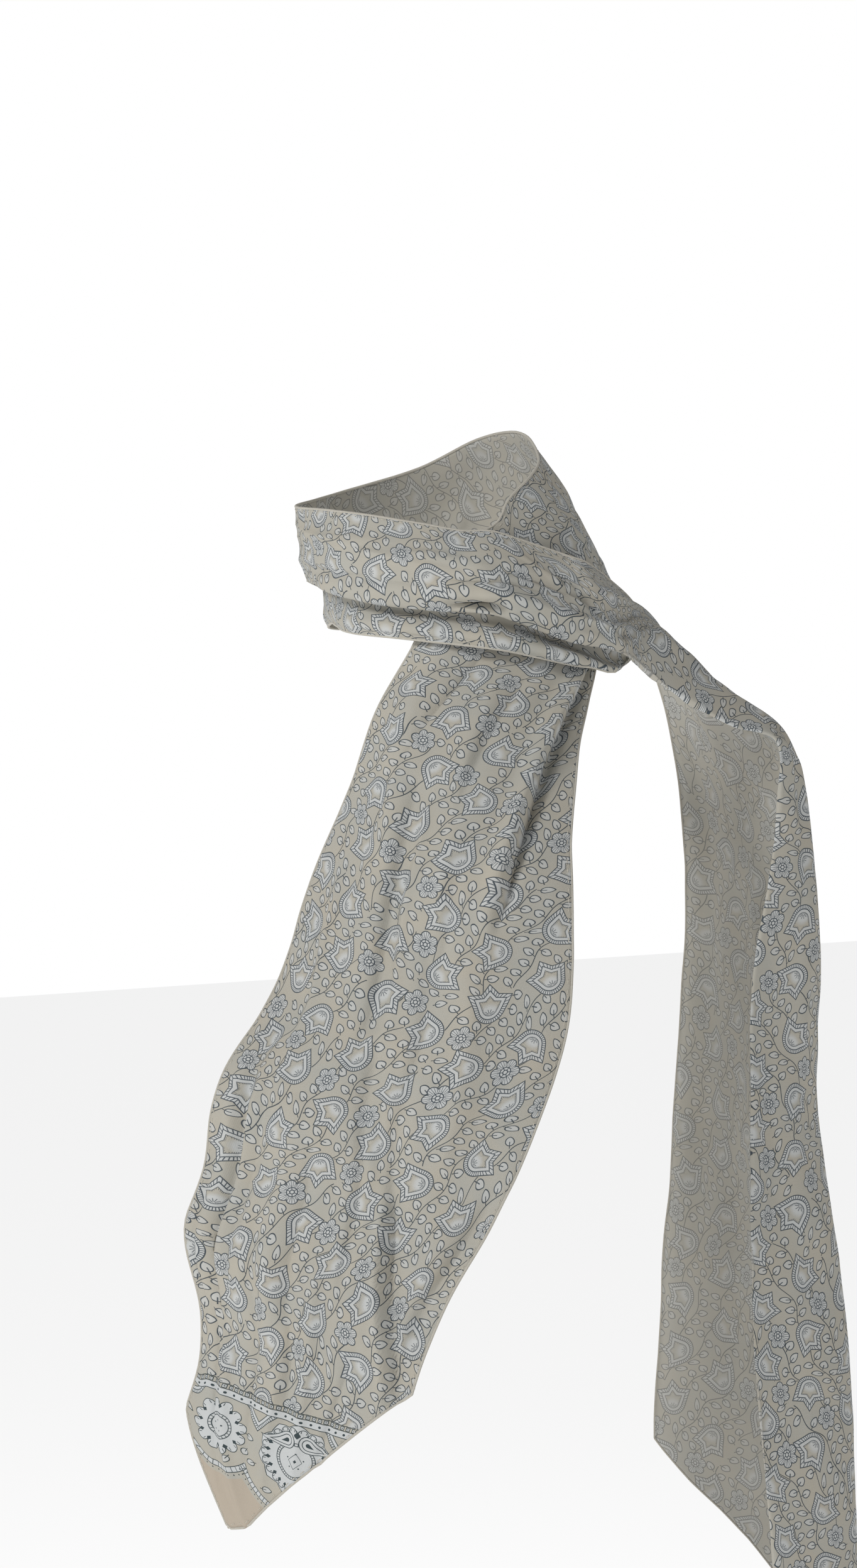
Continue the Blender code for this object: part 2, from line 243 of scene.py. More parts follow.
# Folds of the winding: the section and the rail across where each begins and ends, how far it
# stands out, and its half width. Sections run from the start of the nape turn; the throat wrap
# begins at 10, the shoulder run at 18 and the back tail at 22
WINDING_FOLDS = """
from_section from_rail to_section to_rail height width
 3.4  2.0  5.4  6.5  0.30 0.80
 4.4  0.8  6.8  4.0 -0.25 0.80
 6.2  6.5  8.8  2.0  0.35 0.90
 7.3  1.0  9.8  4.5 -0.25 0.80
 3.0  0.8  4.6  2.6  0.12 0.35
 4.0  4.0  6.0  7.4 -0.14 0.40
 5.4  1.4  7.4  2.8  0.13 0.40
 8.0  1.0 10.4  2.2 -0.12 0.35
 9.0  2.6 11.6  1.6  0.14 0.40
10.6  1.2 13.0  0.7  0.12 0.40
11.0  2.2 13.6  1.9 -0.26 0.33
12.4  0.9 15.0  1.3  0.14 0.45
13.7 2.65 14.9 2.45 -0.72 0.36
14.2  2.1 18.4  1.8  0.46 0.46
14.4  1.3 18.0  1.3 -0.36 0.44
10.8  0.6 14.0  1.5  0.16 0.35
11.4  1.5 14.4  0.6 -0.14 0.30
15.0  0.4 17.4  1.9  0.16 0.32
16.2  0.6 18.6  2.4 -0.20 0.30
13.2  2.3 15.6  2.0  0.20 0.40
13.6  1.7 16.4  1.5 -0.28 0.32
14.4  2.5 17.6  2.4  0.22 0.35
14.8  7.2 17.4  7.5  0.14 0.30
12.2  7.6 14.6  7.2 -0.12 0.30
15.4  0.8 18.4  1.0 -0.16 0.40
16.4  1.0 20.5  0.9  0.30 0.70
18.2  0.6 23.5  0.7 -0.30 0.80
20.0  1.3 27.0  1.5  0.35 0.90
21.0  0.2 27.5 0.35  0.40 0.90
23.0  1.0 28.0  1.0 -0.35 0.90
17.2  1.6 21.4  1.4 -0.18 0.40
17.6  2.4 21.0  2.0  0.18 0.35
19.0  0.3 22.4  0.4  0.16 0.40
21.6  2.5 24.8  2.3 -0.22 0.45
22.4  2.2 27.6  2.5  0.22 0.40
24.6  2.8 28.6  2.7 -0.18 0.35
23.4  1.7 26.2  1.4 -0.16 0.50
25.2  0.6 28.8  0.8  0.18 0.55
22.6  0.5 25.0  0.2  0.14 0.45
25.6  0.1 28.6 0.15 -0.30 0.45
"""

# A fold rises from its end as this power of a half wave
FOLD_EASE = 0.6

# The power that shapes a fold's crest: 2 is round, and less is sharper
FOLD_PEAK = 1.55

# Fine crumples: the size of each along the cloth and across it, and its height; the seeds for
# the front tail and the winding; after how many hills the noise comes again
CRUMPLES = """
along across height
6.5 2.4 0.150
3.0 1.2 0.075
1.3 0.7 0.030
"""

FRONT_SEED = 11
WINDING_SEED = 31
NOISE_REPEAT = 64

# Where the print's border begins: the front tail's section, and the back tail's height. The
# front tail's border is drawn shorter by this much
FRONT_BAND_SECTION = 9.4
BACK_BAND_HEIGHT = -46.6
FRONT_END_STRETCH = 1.25

# Rows of points along each shell, and columns across it; the part of the way across that the
# flat width is measured from; and in how many steps a section's length is measured
FRONT_MESH = (236, 112)
WINDING_MESH = (452, 96)
FRONT_WIDTH_PART = 2
WINDING_WIDTH_PART = 3
STEPS_PER_SECTION = 20

# The flat cut of each shell's cloth, width and length in metres, and the share of it that is
# left where the ends are pointed
FRONT_CUT = (0.17, 0.45)
WINDING_CUT = (0.17, 1.15)
CUT_SHARE = 0.9

# Camera: bearing from straight ahead of the wearer towards their left, rise, place and lens
CAMERA_BEARING = math.radians(55.0)
CAMERA_RISE = math.radians(3.0)
CAMERA_PLACE = (1.63438, -1.15626, 0.01408)
CAMERA_LENS = 101.0
SENSOR_HEIGHT = 36.0

# Keeps a length that is divided by above zero
TINY = 1e-9


def table(text):
    """The columns of a table, by name."""
    lines = [line.split() for line in text.strip().splitlines()]
    values = np.array([[float(word) for word in line] for line in lines[1:]])
    return {name: values[:, column] for column, name in enumerate(lines[0])}


def curve_through(knots, values, at):
    """Smooth curve through values (first axis) at rising knots, read at the places asked."""
    knots = np.asarray(knots, float)
    values = np.asarray(values, float)
    at = np.clip(np.asarray(at, float), knots[0], knots[-1])
    span = np.diff(knots)
    shape = (-1,) + (1,) * (values.ndim - 1)
    slope = np.diff(values, axis=0) / span.reshape(shape)
    tangent = np.empty_like(values)
    tangent[0] = slope[0]
    tangent[-1] = slope[-1]
    before, after = span[:-1].reshape(shape), span[1:].reshape(shape)
    tangent[1:-1] = (slope[:-1] * after + slope[1:] * before) / (before + after)
    k = np.clip(np.searchsorted(knots, at, side="right") - 1, 0, len(span) - 1)
    part = ((at - knots[k]) / span[k]).reshape(shape)
    size = span[k].reshape(shape)
    square, cube = part**2, part**3
    return (
        (2 * cube - 3 * square + 1) * values[k]
        + (cube - 2 * square + part) * size * tangent[k]
        + (3 * square - 2 * cube) * values[k + 1]
        + (cube - square) * size * tangent[k + 1]
    )


def around_neck(turn, height, reach):
    """Points at a turn and reach from the leaning neck."""
    angle = np.radians(turn)
    across = reach * np.cos(angle)
    along = reach * np.sin(angle) - NECK_LEAN * height
    return np.stack(np.broadcast_arrays(across, along, height), axis=-1)


def points_of(rows, name):
    """The three columns that hold a point, such as lip_x, lip_y and lip_z."""
    return np.stack([rows[f"{name}_{axis}"] for axis in "xyz"], axis=1)


def facings(grid):
    """The unit facing of the cloth's right side at each point of a grid."""
    down = np.gradient(grid, axis=0)
    across = np.gradient(grid, axis=1)
    facing = np.cross(across, down)
    return facing / np.maximum(np.linalg.norm(facing, axis=2, keepdims=True), TINY)


def travel_across(grid):
    """How far across the cloth each point lies from the first column."""
    step = np.linalg.norm(np.diff(grid, axis=1), axis=2)
    return np.concatenate([np.zeros((len(grid), 1)), np.cumsum(step, axis=1)], axis=1)


def with_folds(grid, along, across, folds, names, side=1.0):
    """The grid with each soft ridge or valley raised along its facing, or against it."""
    travelled = travel_across(grid)
    facing = facings(grid) * side
    raised = grid.copy()
    starts, start_places, ends, end_places = (folds[name] for name in names)
    for k, height in enumerate(folds["height"]):
        passed = (along - starts[k]) / (ends[k] - starts[k])
        ease = np.sin(np.pi * np.clip(passed, 0, 1)) ** FOLD_EASE
        place = start_places[k] + passed * (end_places[k] - start_places[k])
        for row, crest in enumerate(place):
            middle = np.interp(crest, across, travelled[row])
            away = (travelled[row] - middle) / folds["width"][k]
            lift = height * ease[row] * np.exp(-(np.abs(away) ** FOLD_PEAK))
            raised[row] += facing[row] * lift[:, None]
    return raised


def with_edge_waves(grid, at, share):
    """The grid with its first edge, and the cloth near it, pushed out and in."""
    side = grid[:, :1] - grid[:, [EDGE_WAVE_COLUMN]]
    side /= np.linalg.norm(side, axis=2, keepdims=True)
    waves = table(FRONT_EDGE_WAVES)
    away = (at[:, :1] - waves["section"]) / waves["width"]
    reach = (waves["reach"] * np.exp(-(away**2))).sum(axis=1)
    fade = np.clip(1 - share / EDGE_WAVE_SHARE, 0, 1) ** 2
    return grid + side * (reach[:, None] * fade)[..., None]


def soft_noise(x, y, seed):
    """Smooth noise from -1 to 1, one hill or hollow to each whole step of x and y."""
    heights = np.random.default_rng(seed).uniform(-1, 1, (NOISE_REPEAT, NOISE_REPEAT))
    column, row = np.floor(x).astype(int), np.floor(y).astype(int)
    part_x, part_y = x - column, y - row
    ease_x = part_x**2 * (3 - 2 * part_x)
    ease_y = part_y**2 * (3 - 2 * part_y)
    sides = []
    for a in (0, 1):
        corner = [heights[(column + a) % NOISE_REPEAT, (row + b) % NOISE_REPEAT] for b in (0, 1)]
        sides.append(corner[0] * (1 - ease_y) + corner[1] * ease_y)
    low, high = sides
    return low * (1 - ease_x) + high * ease_x


def with_crumples(grid, along, across, seed):
    """The grid with fine crumples laid over it, larger along the cloth than across."""
    rows = table(CRUMPLES)
    lift = np.zeros(across.shape)
    for k, height in enumerate(rows["height"]):
        lift += height * soft_noise(along / rows["along"][k], across / rows["across"][k], seed + k)
    return grid + facings(grid) * lift[..., None]


def front_sections(share):
    """Points at each share across every section of the front tail, from its tucked top down."""
    rows, nape = table(FRONT_SECTIONS), table(NAPE_SECTIONS)
    turn = FRONT_TOP_TURNS[0] + share * (FRONT_TOP_TURNS[1] - FRONT_TOP_TURNS[0])
    foot_z = curve_through(nape["turn"], nape["foot_z"], turn) + FRONT_TUCK
    foot_out = curve_through(nape["turn"], nape["foot_out"], turn) + FRONT_CLEAR
    sections = [around_neck(turn, foot_z, foot_out)]
    for inner, outer, bow in zip(points_of(rows, "inner"), points_of(rows, "outer"), rows["bow"]):
        side = outer - inner
        out = np.array([side[1], -side[0], 0.0])
        out *= bow / np.linalg.norm(out)
        swell = 4 * share * (1 - share)
        sections.append(inner + side * share[:, None] + out * swell[:, None])
    return np.array(sections)


def lengths_to(sections):
    """How far along the cloth each section lies, as a mean of the lines given."""
    fine = np.linspace(0, len(sections) - 1, STEPS_PER_SECTION * len(sections))
    lines = curve_through(np.arange(len(sections)), sections, fine)
    steps = np.linalg.norm(np.diff(lines, axis=0), axis=2).mean(axis=1)
    return fine, np.concatenate([[0], np.cumsum(steps)])


def widths_at(sections, at):
    """How far across the cloth each point lies, from its own section's first column."""
    travelled = travel_across(sections)
    numbers = np.arange(len(sections))
    columns = [np.interp(at[:, k], numbers, travelled[:, k]) for k in range(at.shape[1])]
    return np.stack(columns, axis=1)


def front_tail_surface():
    """The front tail's points, from its outer edge, how far above the border, and how far across."""
    rows, columns = FRONT_MESH
    end = table(FRONT_END)
    share = np.linspace(0, 1, columns)
    last = np.interp(share, end["across"], end["section"])
    at = np.linspace(0, 1, rows)[:, None] * last
    sections = front_sections(share)
    numbers = np.arange(len(sections))
    lines = [curve_through(numbers, sections[:, k], at[:, k]) for k in range(columns)]
    fine, travelled = lengths_to(sections)
    along = np.interp(at, fine, travelled)
    band = np.interp(FRONT_BAND_SECTION, fine, travelled)
    names = ("from_section", "from_across", "to_section", "to_across")
    grid = with_folds(np.stack(lines, axis=1), at, share, table(FRONT_FOLDS), names, side=-1.0)
    across = widths_at(sections, at)
    grid = with_crumples(with_edge_waves(grid, at, share), along, across, FRONT_SEED)
    above_band = band - along
    above_band[above_band < 0] *= FRONT_END_STRETCH
    across = across - across[:, [columns // FRONT_WIDTH_PART]]
    return grid[:, ::-1], above_band[:, ::-1], across[:, ::-1]


def nape_sections():
    """Nine points across each section of the nape turn, from its top edge to its foot."""
    row = table(NAPE_SECTIONS)
    reaches = [row["top_out"], row["waist_out"], row["foot_out"]]
    rails = []
    for share in NAPE_RAILS:
        height = row["top_z"] + share * (row["foot_z"] - row["top_z"])
        reach = curve_through((0, 0.5, 1), reaches, [share])
        rails.append(around_neck(row["turn"], height, reach[0]))
    return np.stack(rails, axis=1)


def throat_sections():
    """Nine points across each throat section: the upper band, its lip, the lap and the hem."""
    row = table(THROAT_SECTIONS)
    top_z, top_out = row["top_z"], row["top_out"]
    lip_z, lip_out, lap = row["lip_z"], row["lip_out"], row["lap"]
    hem_z, hem_out = row["hem_z"], row["hem_out"]
    places = [(top_z, top_out)]
    for share in BAND_SWELLS:
        reach = top_out + share * (lip_out - top_out) + row["swell"]
        places.append((top_z - share * (top_z - lip_z), reach))
    places.append((lip_z, lip_out))
    for up, back in LAP_TURNS:
        places.append((lip_z + up * lap, lip_out - back * lap))
    down, back = LOWER_START
    places.append((lip_z - down * (lip_z - hem_z), lip_out - back * lap))
    places.append((hem_z + LOWER_FULLEST * (lip_z - hem_z), hem_out))
    places.append((hem_z, hem_out - HEM_TURN))
    rails = [around_neck(row["turn"], height, reach) for height, reach in places]
    return np.stack(rails, axis=1)


def folded_sections(inner, crown, lip, bulge, under):
    """Nine points across sections that are folded under at the lip, towards the crown."""
    rails = [inner, (inner + crown) / 2 + bulge, crown, lip]
    for share, depth in UNDER_LAYER:
        rails.append(lip + (crown - lip) * share + np.array(under) * depth)
    return np.stack(rails, axis=1)


def winding_sections():
    """Every section from the nape to the end of the back tail, and where the back tail begins."""
    row = table(SHOULDER_SECTIONS)
    inner, crown, lip = (points_of(row, name) for name in ("inner", "crown", "lip"))
    shoulder = folded_sections(inner, crown, lip, SHOULDER_BULGE, SHOULDER_UNDER)
    row = table(BACK_SECTIONS)
    for name in ("far", "corner", "near"):
        row[f"{name}_z"] = row["height"]
    far, corner, near = (points_of(row, name) for name in ("far", "corner", "near"))
    back = folded_sections(far, corner, near, BACK_BULGE, BACK_UNDER)
    ahead = [nape_sections(), throat_sections(), shoulder]
    return np.concatenate([*ahead, back]), sum(len(part) for part in ahead)


def winding_surface():
    """The winding's points, how far each lies from the border, and how far across."""
    rows, columns = WINDING_MESH
    sections, back_start = winding_sections()
    rails = np.arange(sections.shape[1])
    across = np.linspace(0, rails[-1], columns)
    crossed = curve_through(rails, np.swapaxes(sections, 0, 1), across)
    numbers = np.arange(len(sections))
    fine, travelled = lengths_to(sections[:, :SHOWN_RAILS])
    levels = table(BACK_SECTIONS)["height"]
    end = table(BACK_END)
    height = np.interp(across, end["rail"], end["height"])
    back_sections = back_start + np.arange(len(levels))
    last = np.interp(-height, -levels, back_sections)
    band_section = np.interp(-BACK_BAND_HEIGHT, -levels, back_sections)
    even = np.linspace(0, 1, rows)
    lines = []
    at = np.empty((rows, columns))
    for k in range(columns):
        at[:, k] = np.interp(even * np.interp(last[k], fine, travelled), travelled, fine)
        lines.append(curve_through(numbers, crossed[k], at[:, k]))
    along = np.interp(at, fine, travelled)
    names = ("from_section", "from_rail", "to_section", "to_rail")
    grid = with_folds(np.stack(lines, axis=1), at, across, table(WINDING_FOLDS), names)
    travel = widths_at(np.swapaxes(crossed, 0, 1), at)
    grid = with_crumples(grid, along, travel, WINDING_SEED)
    above_band = np.interp(band_section, fine, travelled) - along
    return grid, above_band, travel - travel[:, [columns // WINDING_WIDTH_PART]]


class Value:
    """A number inside a node tree. Arithmetic on it adds Math nodes to the tree."""

    def __init__(self, tree, socket):
        self.tree = tree
        self.socket = socket

    def math(self, operation, *others, clamp=False):
        return calculate(self.tree, operation, self, *others, clamp=clamp)

    def __add__(self, other):
        return self.math("ADD", other)

    __radd__ = __add__

    def __sub__(self, other):
        return self.math("SUBTRACT", other)

    def __rsub__(self, other):
        return calculate(self.tree, "SUBTRACT", other, self)

    def __mul__(self, other):
        return self.math("MULTIPLY", other)

    __rmul__ = __mul__

    def __neg__(self):
        return self.math("MULTIPLY", -1.0)

    def __abs__(self):
        return self.math("ABSOLUTE")

    def over(self, other):
        return self.math("DIVIDE", other)

    def above(self, other):
        return self.math("GREATER_THAN", other)

    def below(self, other):
        return self.math("LESS_THAN", other)

    def floor(self):
        return self.math("FLOOR")

    def fraction(self):
        return self.math("FRACT")

    def centred(self):
        """The fraction, from -0.5 to 0.5 with 0 in the middle of each step."""
        return self.fraction() - 0.5


def link_or_set(tree, socket, item):
    """Links a value to a socket, or sets a plain number or colour on it."""
    if isinstance(item, Value):
        tree.links.new(item.socket, socket)
    else:
        socket.default_value = item


def calculate(tree, operation, *items, clamp=False):
    """A Math node on values and plain numbers."""
    node = tree.nodes.new("ShaderNodeMath")
    node.operation = operation
    node.use_clamp = clamp
    for socket, item in zip(node.inputs, items):
        link_or_set(tree, socket, item)
    return Value(tree, node.outputs[0])


def mix(tree, kind, sockets, result, items):
    """A Mix node of a kind, its factor and two inputs at the places given."""
    node = tree.nodes.new("ShaderNodeMix")
    node.data_type = kind
    for place, item in zip(sockets, items):
        link_or_set(tree, node.inputs[place], item)
    return Value(tree, node.outputs[result])


def blend_values(tree, factor, first, second):
    """First where the factor is 0, second where it is 1."""
    return mix(tree, "FLOAT", (0, 2, 3), 0, (factor, first, second))


def mix_colours(tree, factor, first, second):
    """The first colour where the factor is 0, the second where it is 1."""
    return mix(tree, "RGBA", (0, 6, 7), 2, (factor, first, second))


def least(first, second):
    return first.math("MINIMUM", second)


def most(first, *others):
    """The greatest of several values, which joins masks."""
    for other in others:
        first = first.math("MAXIMUM", other)
    return first


def length(x, y):
    return (x * x + y * y).math("SQRT")


# In centimetres: the softness of a printed line's edge, and half the width of the usual line
PRINT_SOFTNESS = 0.018
PRINT_LINE = 0.0205

# Half the width of the finer and the stronger lines
FRINGE_LINE = 0.4 * PRINT_LINE
HATCH_LINE = 0.45 * PRINT_LINE
FINE_LINE = 0.6 * PRINT_LINE
HEAD_TICK_LINE = 0.75 * PRINT_LINE
TICK_LINE = 0.8 * PRINT_LINE
RIB_LINE = 0.9 * PRINT_LINE
STRONG_LINE = 1.4 * PRINT_LINE


def line(distance, half_width=PRINT_LINE):
    """A mask of a printed line, along which the distance is zero."""
    return (half_width - abs(distance)).math("MULTIPLY_ADD", 1 / PRINT_SOFTNESS, 0.5, clamp=True)


def inside(distance):
    """A mask of what lies inside a shape, where the distance is below zero."""
    return distance.math("MULTIPLY_ADD", -1 / PRINT_SOFTNESS, 0.5, clamp=True)


def between(value, low, high):
    """A mask of where the value lies between two bounds."""
    return inside(low - value) * inside(value - high)


def spokes(angle, radius, count):
    """Distance to the nearest of some spokes, evenly turned."""
    return abs((angle * (count / FULL_TURN)).centred()) * radius * (FULL_TURN / count)


def petal_place(angle, radius, count, place):
    """Where a point lies from the middle of the nearest of some petals, out and aside."""
    turned = (angle * (count / FULL_TURN)).centred() * (FULL_TURN / count)
    return radius * turned.math("COSINE") - place, radius * turned.math("SINE")


def teardrop(along, across, radius, size, tip):
    """Distance to a round drop with a straight-sided point, from its round centre."""
    slope = size / tip
    rise = math.sqrt(1 - slope * slope)
    cone = across * rise + along * slope
    ahead = (along * rise - across * slope).above(0.0)
    return blend_values(radius.tree, ahead, radius, cone) - size


NUMBER = "NodeSocketFloat"
COLOUR = "NodeSocketColor"
VECTOR = "NodeSocketVector"


def new_group(name, inputs, outputs):
    """An empty node group, its inputs as values, and its output node."""
    tree = bpy.data.node_groups.new(name, "ShaderNodeTree")
    for label, kind in inputs:
        tree.interface.new_socket(label, in_out="INPUT", socket_type=kind)
    for label, kind in outputs:
        tree.interface.new_socket(label, in_out="OUTPUT", socket_type=kind)
    start = tree.nodes.new("NodeGroupInput")
    end = tree.nodes.new("NodeGroupOutput")
    return tree, {label: Value(tree, start.outputs[label]) for label, _ in inputs}, end


def numbered(*labels):
    """Group sockets that each hold a number."""
    return [(label, NUMBER) for label in labels]


def give(end, **results):
    """Links values to a group's outputs, named with _ for a space."""
    for label, value in results.items():
        value.tree.links.new(value.socket, end.inputs[label.replace("_", " ")])


def place_group(tree, group, **inputs):
    """A group placed in a tree, and its outputs as values."""
    node = tree.nodes.new("ShaderNodeGroup")
    node.node_tree = group
    for label, item in inputs.items():
        link_or_set(tree, node.inputs[label.replace("_", " ")], item)
    return {socket.name: Value(tree, socket) for socket in node.outputs}


def parts_of(tree, kind, socket):
    """The three numbers in a vector or a colour."""
    split = tree.nodes.new(kind)
    tree.links.new(socket, split.inputs[0])
    return [Value(tree, part) for part in split.outputs]


def chance_node(tree, *indices):
    """A White Noise node, read at three whole numbers."""
    join = tree.nodes.new("ShaderNodeCombineXYZ")
    for socket, item in zip(join.inputs, indices):
        tree.links.new(item.socket, socket)
    chance = tree.nodes.new("ShaderNodeTexWhiteNoise")
    chance.noise_dimensions = "3D"
    tree.links.new(join.outputs[0], chance.inputs["Vector"])
    return chance


def noise_node(tree, vector, scale, detail):
    """A noise texture, read at a vector."""
    node = tree.nodes.new("ShaderNodeTexNoise")
    node.inputs["Scale"].default_value = scale
    node.inputs["Detail"].default_value = detail
    tree.links.new(vector.socket, node.inputs["Vector"])
    return node


def noise_value(tree, vector, scale, detail):
    """A noise texture's value, read at a vector."""
    return Value(tree, noise_node(tree, vector, scale, detail).outputs[0])


# The print's layout, in centimetres: the pitch of the flower heads along a row and from row to
# row, how far each strays, the seed of their chances, and after how many the layout comes
# again; for the rosettes, their place between the heads, stray, seed, and how many are shown
HEAD_PITCH = 2.62
HEAD_ROW = 2.34
HEAD_STRAY = 0.30
HEAD_SEED = 3.0
REPEAT_COUNT = 4.0
ROSETTE_SHIFT = (1.31, 0.78)
ROSETTE_STRAY = 0.2
ROSETTE_SEED = 8.0
ROSETTE_SHARE = 0.40


def scattered_group():
    """Sets one motif in each brick of a wall of bricks, each turned and strayed by chance."""
    results = numbered("Local X", "Local Y", "Pick")
    tree, given, end = new_group("scattered_motifs", numbered("X", "Y", "Seed", "Stray"), results)
    row = given["Y"].over(HEAD_ROW).floor()
    x = given["X"] + (row * 0.5).fraction() * HEAD_PITCH
    column = x.over(HEAD_PITCH).floor()
    middle_x = x - (column + 0.5) * HEAD_PITCH
    middle_y = given["Y"] - (row + 0.5) * HEAD_ROW
    repeats = [index.math("FLOORED_MODULO", REPEAT_COUNT) for index in (column, row)]
    chance = chance_node(tree, *repeats, given["Seed"])
    red, green, blue = parts_of(tree, "ShaderNodeSeparateColor", chance.outputs["Color"])
    x = middle_x - (red - 0.5) * given["Stray"]
    y = middle_y - (green - 0.5) * given["Stray"]
    turn = blue * FULL_TURN
    cosine, sine = turn.math("COSINE"), turn.math("SINE")
    give(
        end,
        Local_X=x * cosine + y * sine,
        Local_Y=y * cosine - x * sine,
        Pick=Value(tree, chance.outputs["Value"]),
    )
    return tree


# Flower head: the round of its base, its points, the turn of the side points, how far inside
# the outline the two inner outlines run, and how many ticks and how long a fringe it has
HEAD_ROUND = 0.64
HEAD_POINT = 1.04
HEAD_SIDE_TURN = math.radians(60.0)
HEAD_OUTLINES = (0.17, 0.32)
HEAD_TICKS = 38
FRINGE_LENGTH = 0.06

# Stamens and the white heart: how far below the middle they spring, how many stamens, from
# where to where each runs, how far the heart reaches and how sharply it fades
STAMEN_PLACE = 0.27
STAMEN_COUNT = 10
STAMEN_RUN = (0.05, 0.22)
HEART_REACH = 0.40
HEART_FADE = 5.0


def head_edge_group():
    """Distance to the outline of a flower head: a round base and three points."""
    tree, given, end = new_group("head_edge", numbered("X", "Y"), numbered("Edge"))
    x, y = abs(given["X"]), given["Y"]
    radius = length(x, y)
    sine, cosine = math.sin(HEAD_SIDE_TURN), math.cos(HEAD_SIDE_TURN)
    middle = teardrop(y, x, radius, HEAD_ROUND, HEAD_POINT)
    along = x * sine + y * cosine
    across = abs(x * cosine - y * sine)
    side = teardrop(along, across, radius, HEAD_ROUND, HEAD_POINT)
    give(end, Edge=least(middle, side))
    return tree


def head_group(groups):
    """A flower head with ladder edges, a fringed heart and a fan of stamens."""
    results = numbered("Lines", "White", "Edge")
    tree, given, end = new_group("flower_head", numbered("X", "Y"), results)
    x, y = abs(given["X"]), given["Y"]
    radius = length(x, y)
    edge = place_group(tree, groups["head_edge"], X=given["X"], Y=y)["Edge"]
    spoke = spokes(given["X"].math("ARCTAN2", y), radius, HEAD_TICKS)
    second, third = HEAD_OUTLINES
    ladder = line(spoke, HEAD_TICK_LINE) * between(edge, -second, 0.0)
    fringe = line(spoke, FRINGE_LINE) * between(edge, -FRINGE_LENGTH - third, -third)
    low_y = y + STAMEN_PLACE
    low_radius = length(x, low_y)
    low_angle = given["X"].math("ARCTAN2", low_y)
    fan = line(spokes(low_angle, low_radius, STAMEN_COUNT), FINE_LINE)
    fan = fan * between(low_radius, *STAMEN_RUN) * low_y.above(0.0)
    outlines = [line(edge), line(edge + second), line(edge + third, FINE_LINE)]
    heart = (HEART_REACH - low_radius).math("MULTIPLY_ADD", HEART_FADE, 0.5, clamp=True)
    white = inside(edge) * most(inside(-third - edge), heart)
    give(end, Lines=most(*outlines, ladder, fringe, fan), White=white, Edge=edge)
    return tree


# Rosette: petals, their place and round, the hatching lines to each and how far out they
# begin, the inner ring, and how far past it the spokes run
PETALS = 6
PETAL_PLACE = 0.345
PETAL_ROUND = 0.195
PETAL_HATCHES = 5
HATCH_START = 0.05
ROSETTE_RING = (0.085, 0.20)
SPOKE_REACH = 0.1


def rosette_group():
    """A small rosette of hatched round petals round a ring and a dot."""
    results = numbered("Lines", "White")
    tree, given, end = new_group("rosette", numbered("X", "Y"), results)
    radius = length(given["X"], given["Y"])
    angle = given["X"].math("ARCTAN2", given["Y"])
    edge = length(*petal_place(angle, radius, PETALS, PETAL_PLACE)) - PETAL_ROUND
    inner, outer = ROSETTE_RING
    hatch = line(spokes(angle, radius, PETALS * PETAL_HATCHES), HATCH_LINE)
    hatch = hatch * inside(edge) * between(radius, outer + HATCH_START, 1.0)
    spoke = line(spokes(angle, radius, PETALS), TICK_LINE)
    spoke = spoke * between(radius, inner, outer + SPOKE_REACH)
    rings = most(line(radius - inner), line(radius - outer))
    outline = line(edge) * inside(outer - radius)
    white = inside(least(edge, radius - outer))
    give(end, Lines=most(outline, rings, spoke, hatch), White=white)
    return tree


# Leafy vines: the pitch from vine to vine, each vine's short and long wave, the bend of them
# all and their turn against the cloth
VINE_PITCH = 1.24
VINE_WAVE = 0.13
VINE_WAVE_LENGTH = 2.1
VINE_SWING = 0.30
VINE_SWING_LENGTH = 7.3
VINE_BEND = 0.28
VINE_BEND_LENGTH = 5.3
VINE_TURN = math.radians(33.0)

# A vine's line shows in this share of its stretches, each some leaves long and set on from
# vine to vine
VINE_SHOWN = 0.85
VINE_STRETCH = 2.9
VINE_STRETCH_SHIFT = 0.41

# Leaves: the pitch on one side, their shift from side to side and from vine to vine as shares
# of it, their place off the vine, their round and point, how far the rib runs in, their lean
# and how much of it is chance, the distance from the round to the leaf's middle, and how much
# of the white fills them
LEAF_PITCH = 0.55
LEAF_SIDE_SHIFT = 0.25
LEAF_VINE_SHIFT = 0.37
LEAF_PLACE = 0.29
LEAF_ROUND = 0.165
LEAF_POINT = 0.28
RIB_REACH = 0.03
LEAF_LEAN = 0.35
LEAF_LEAN_CHANCE = 0.9
LEAF_MIDDLE = 0.08
LEAF_WHITE = 0.72


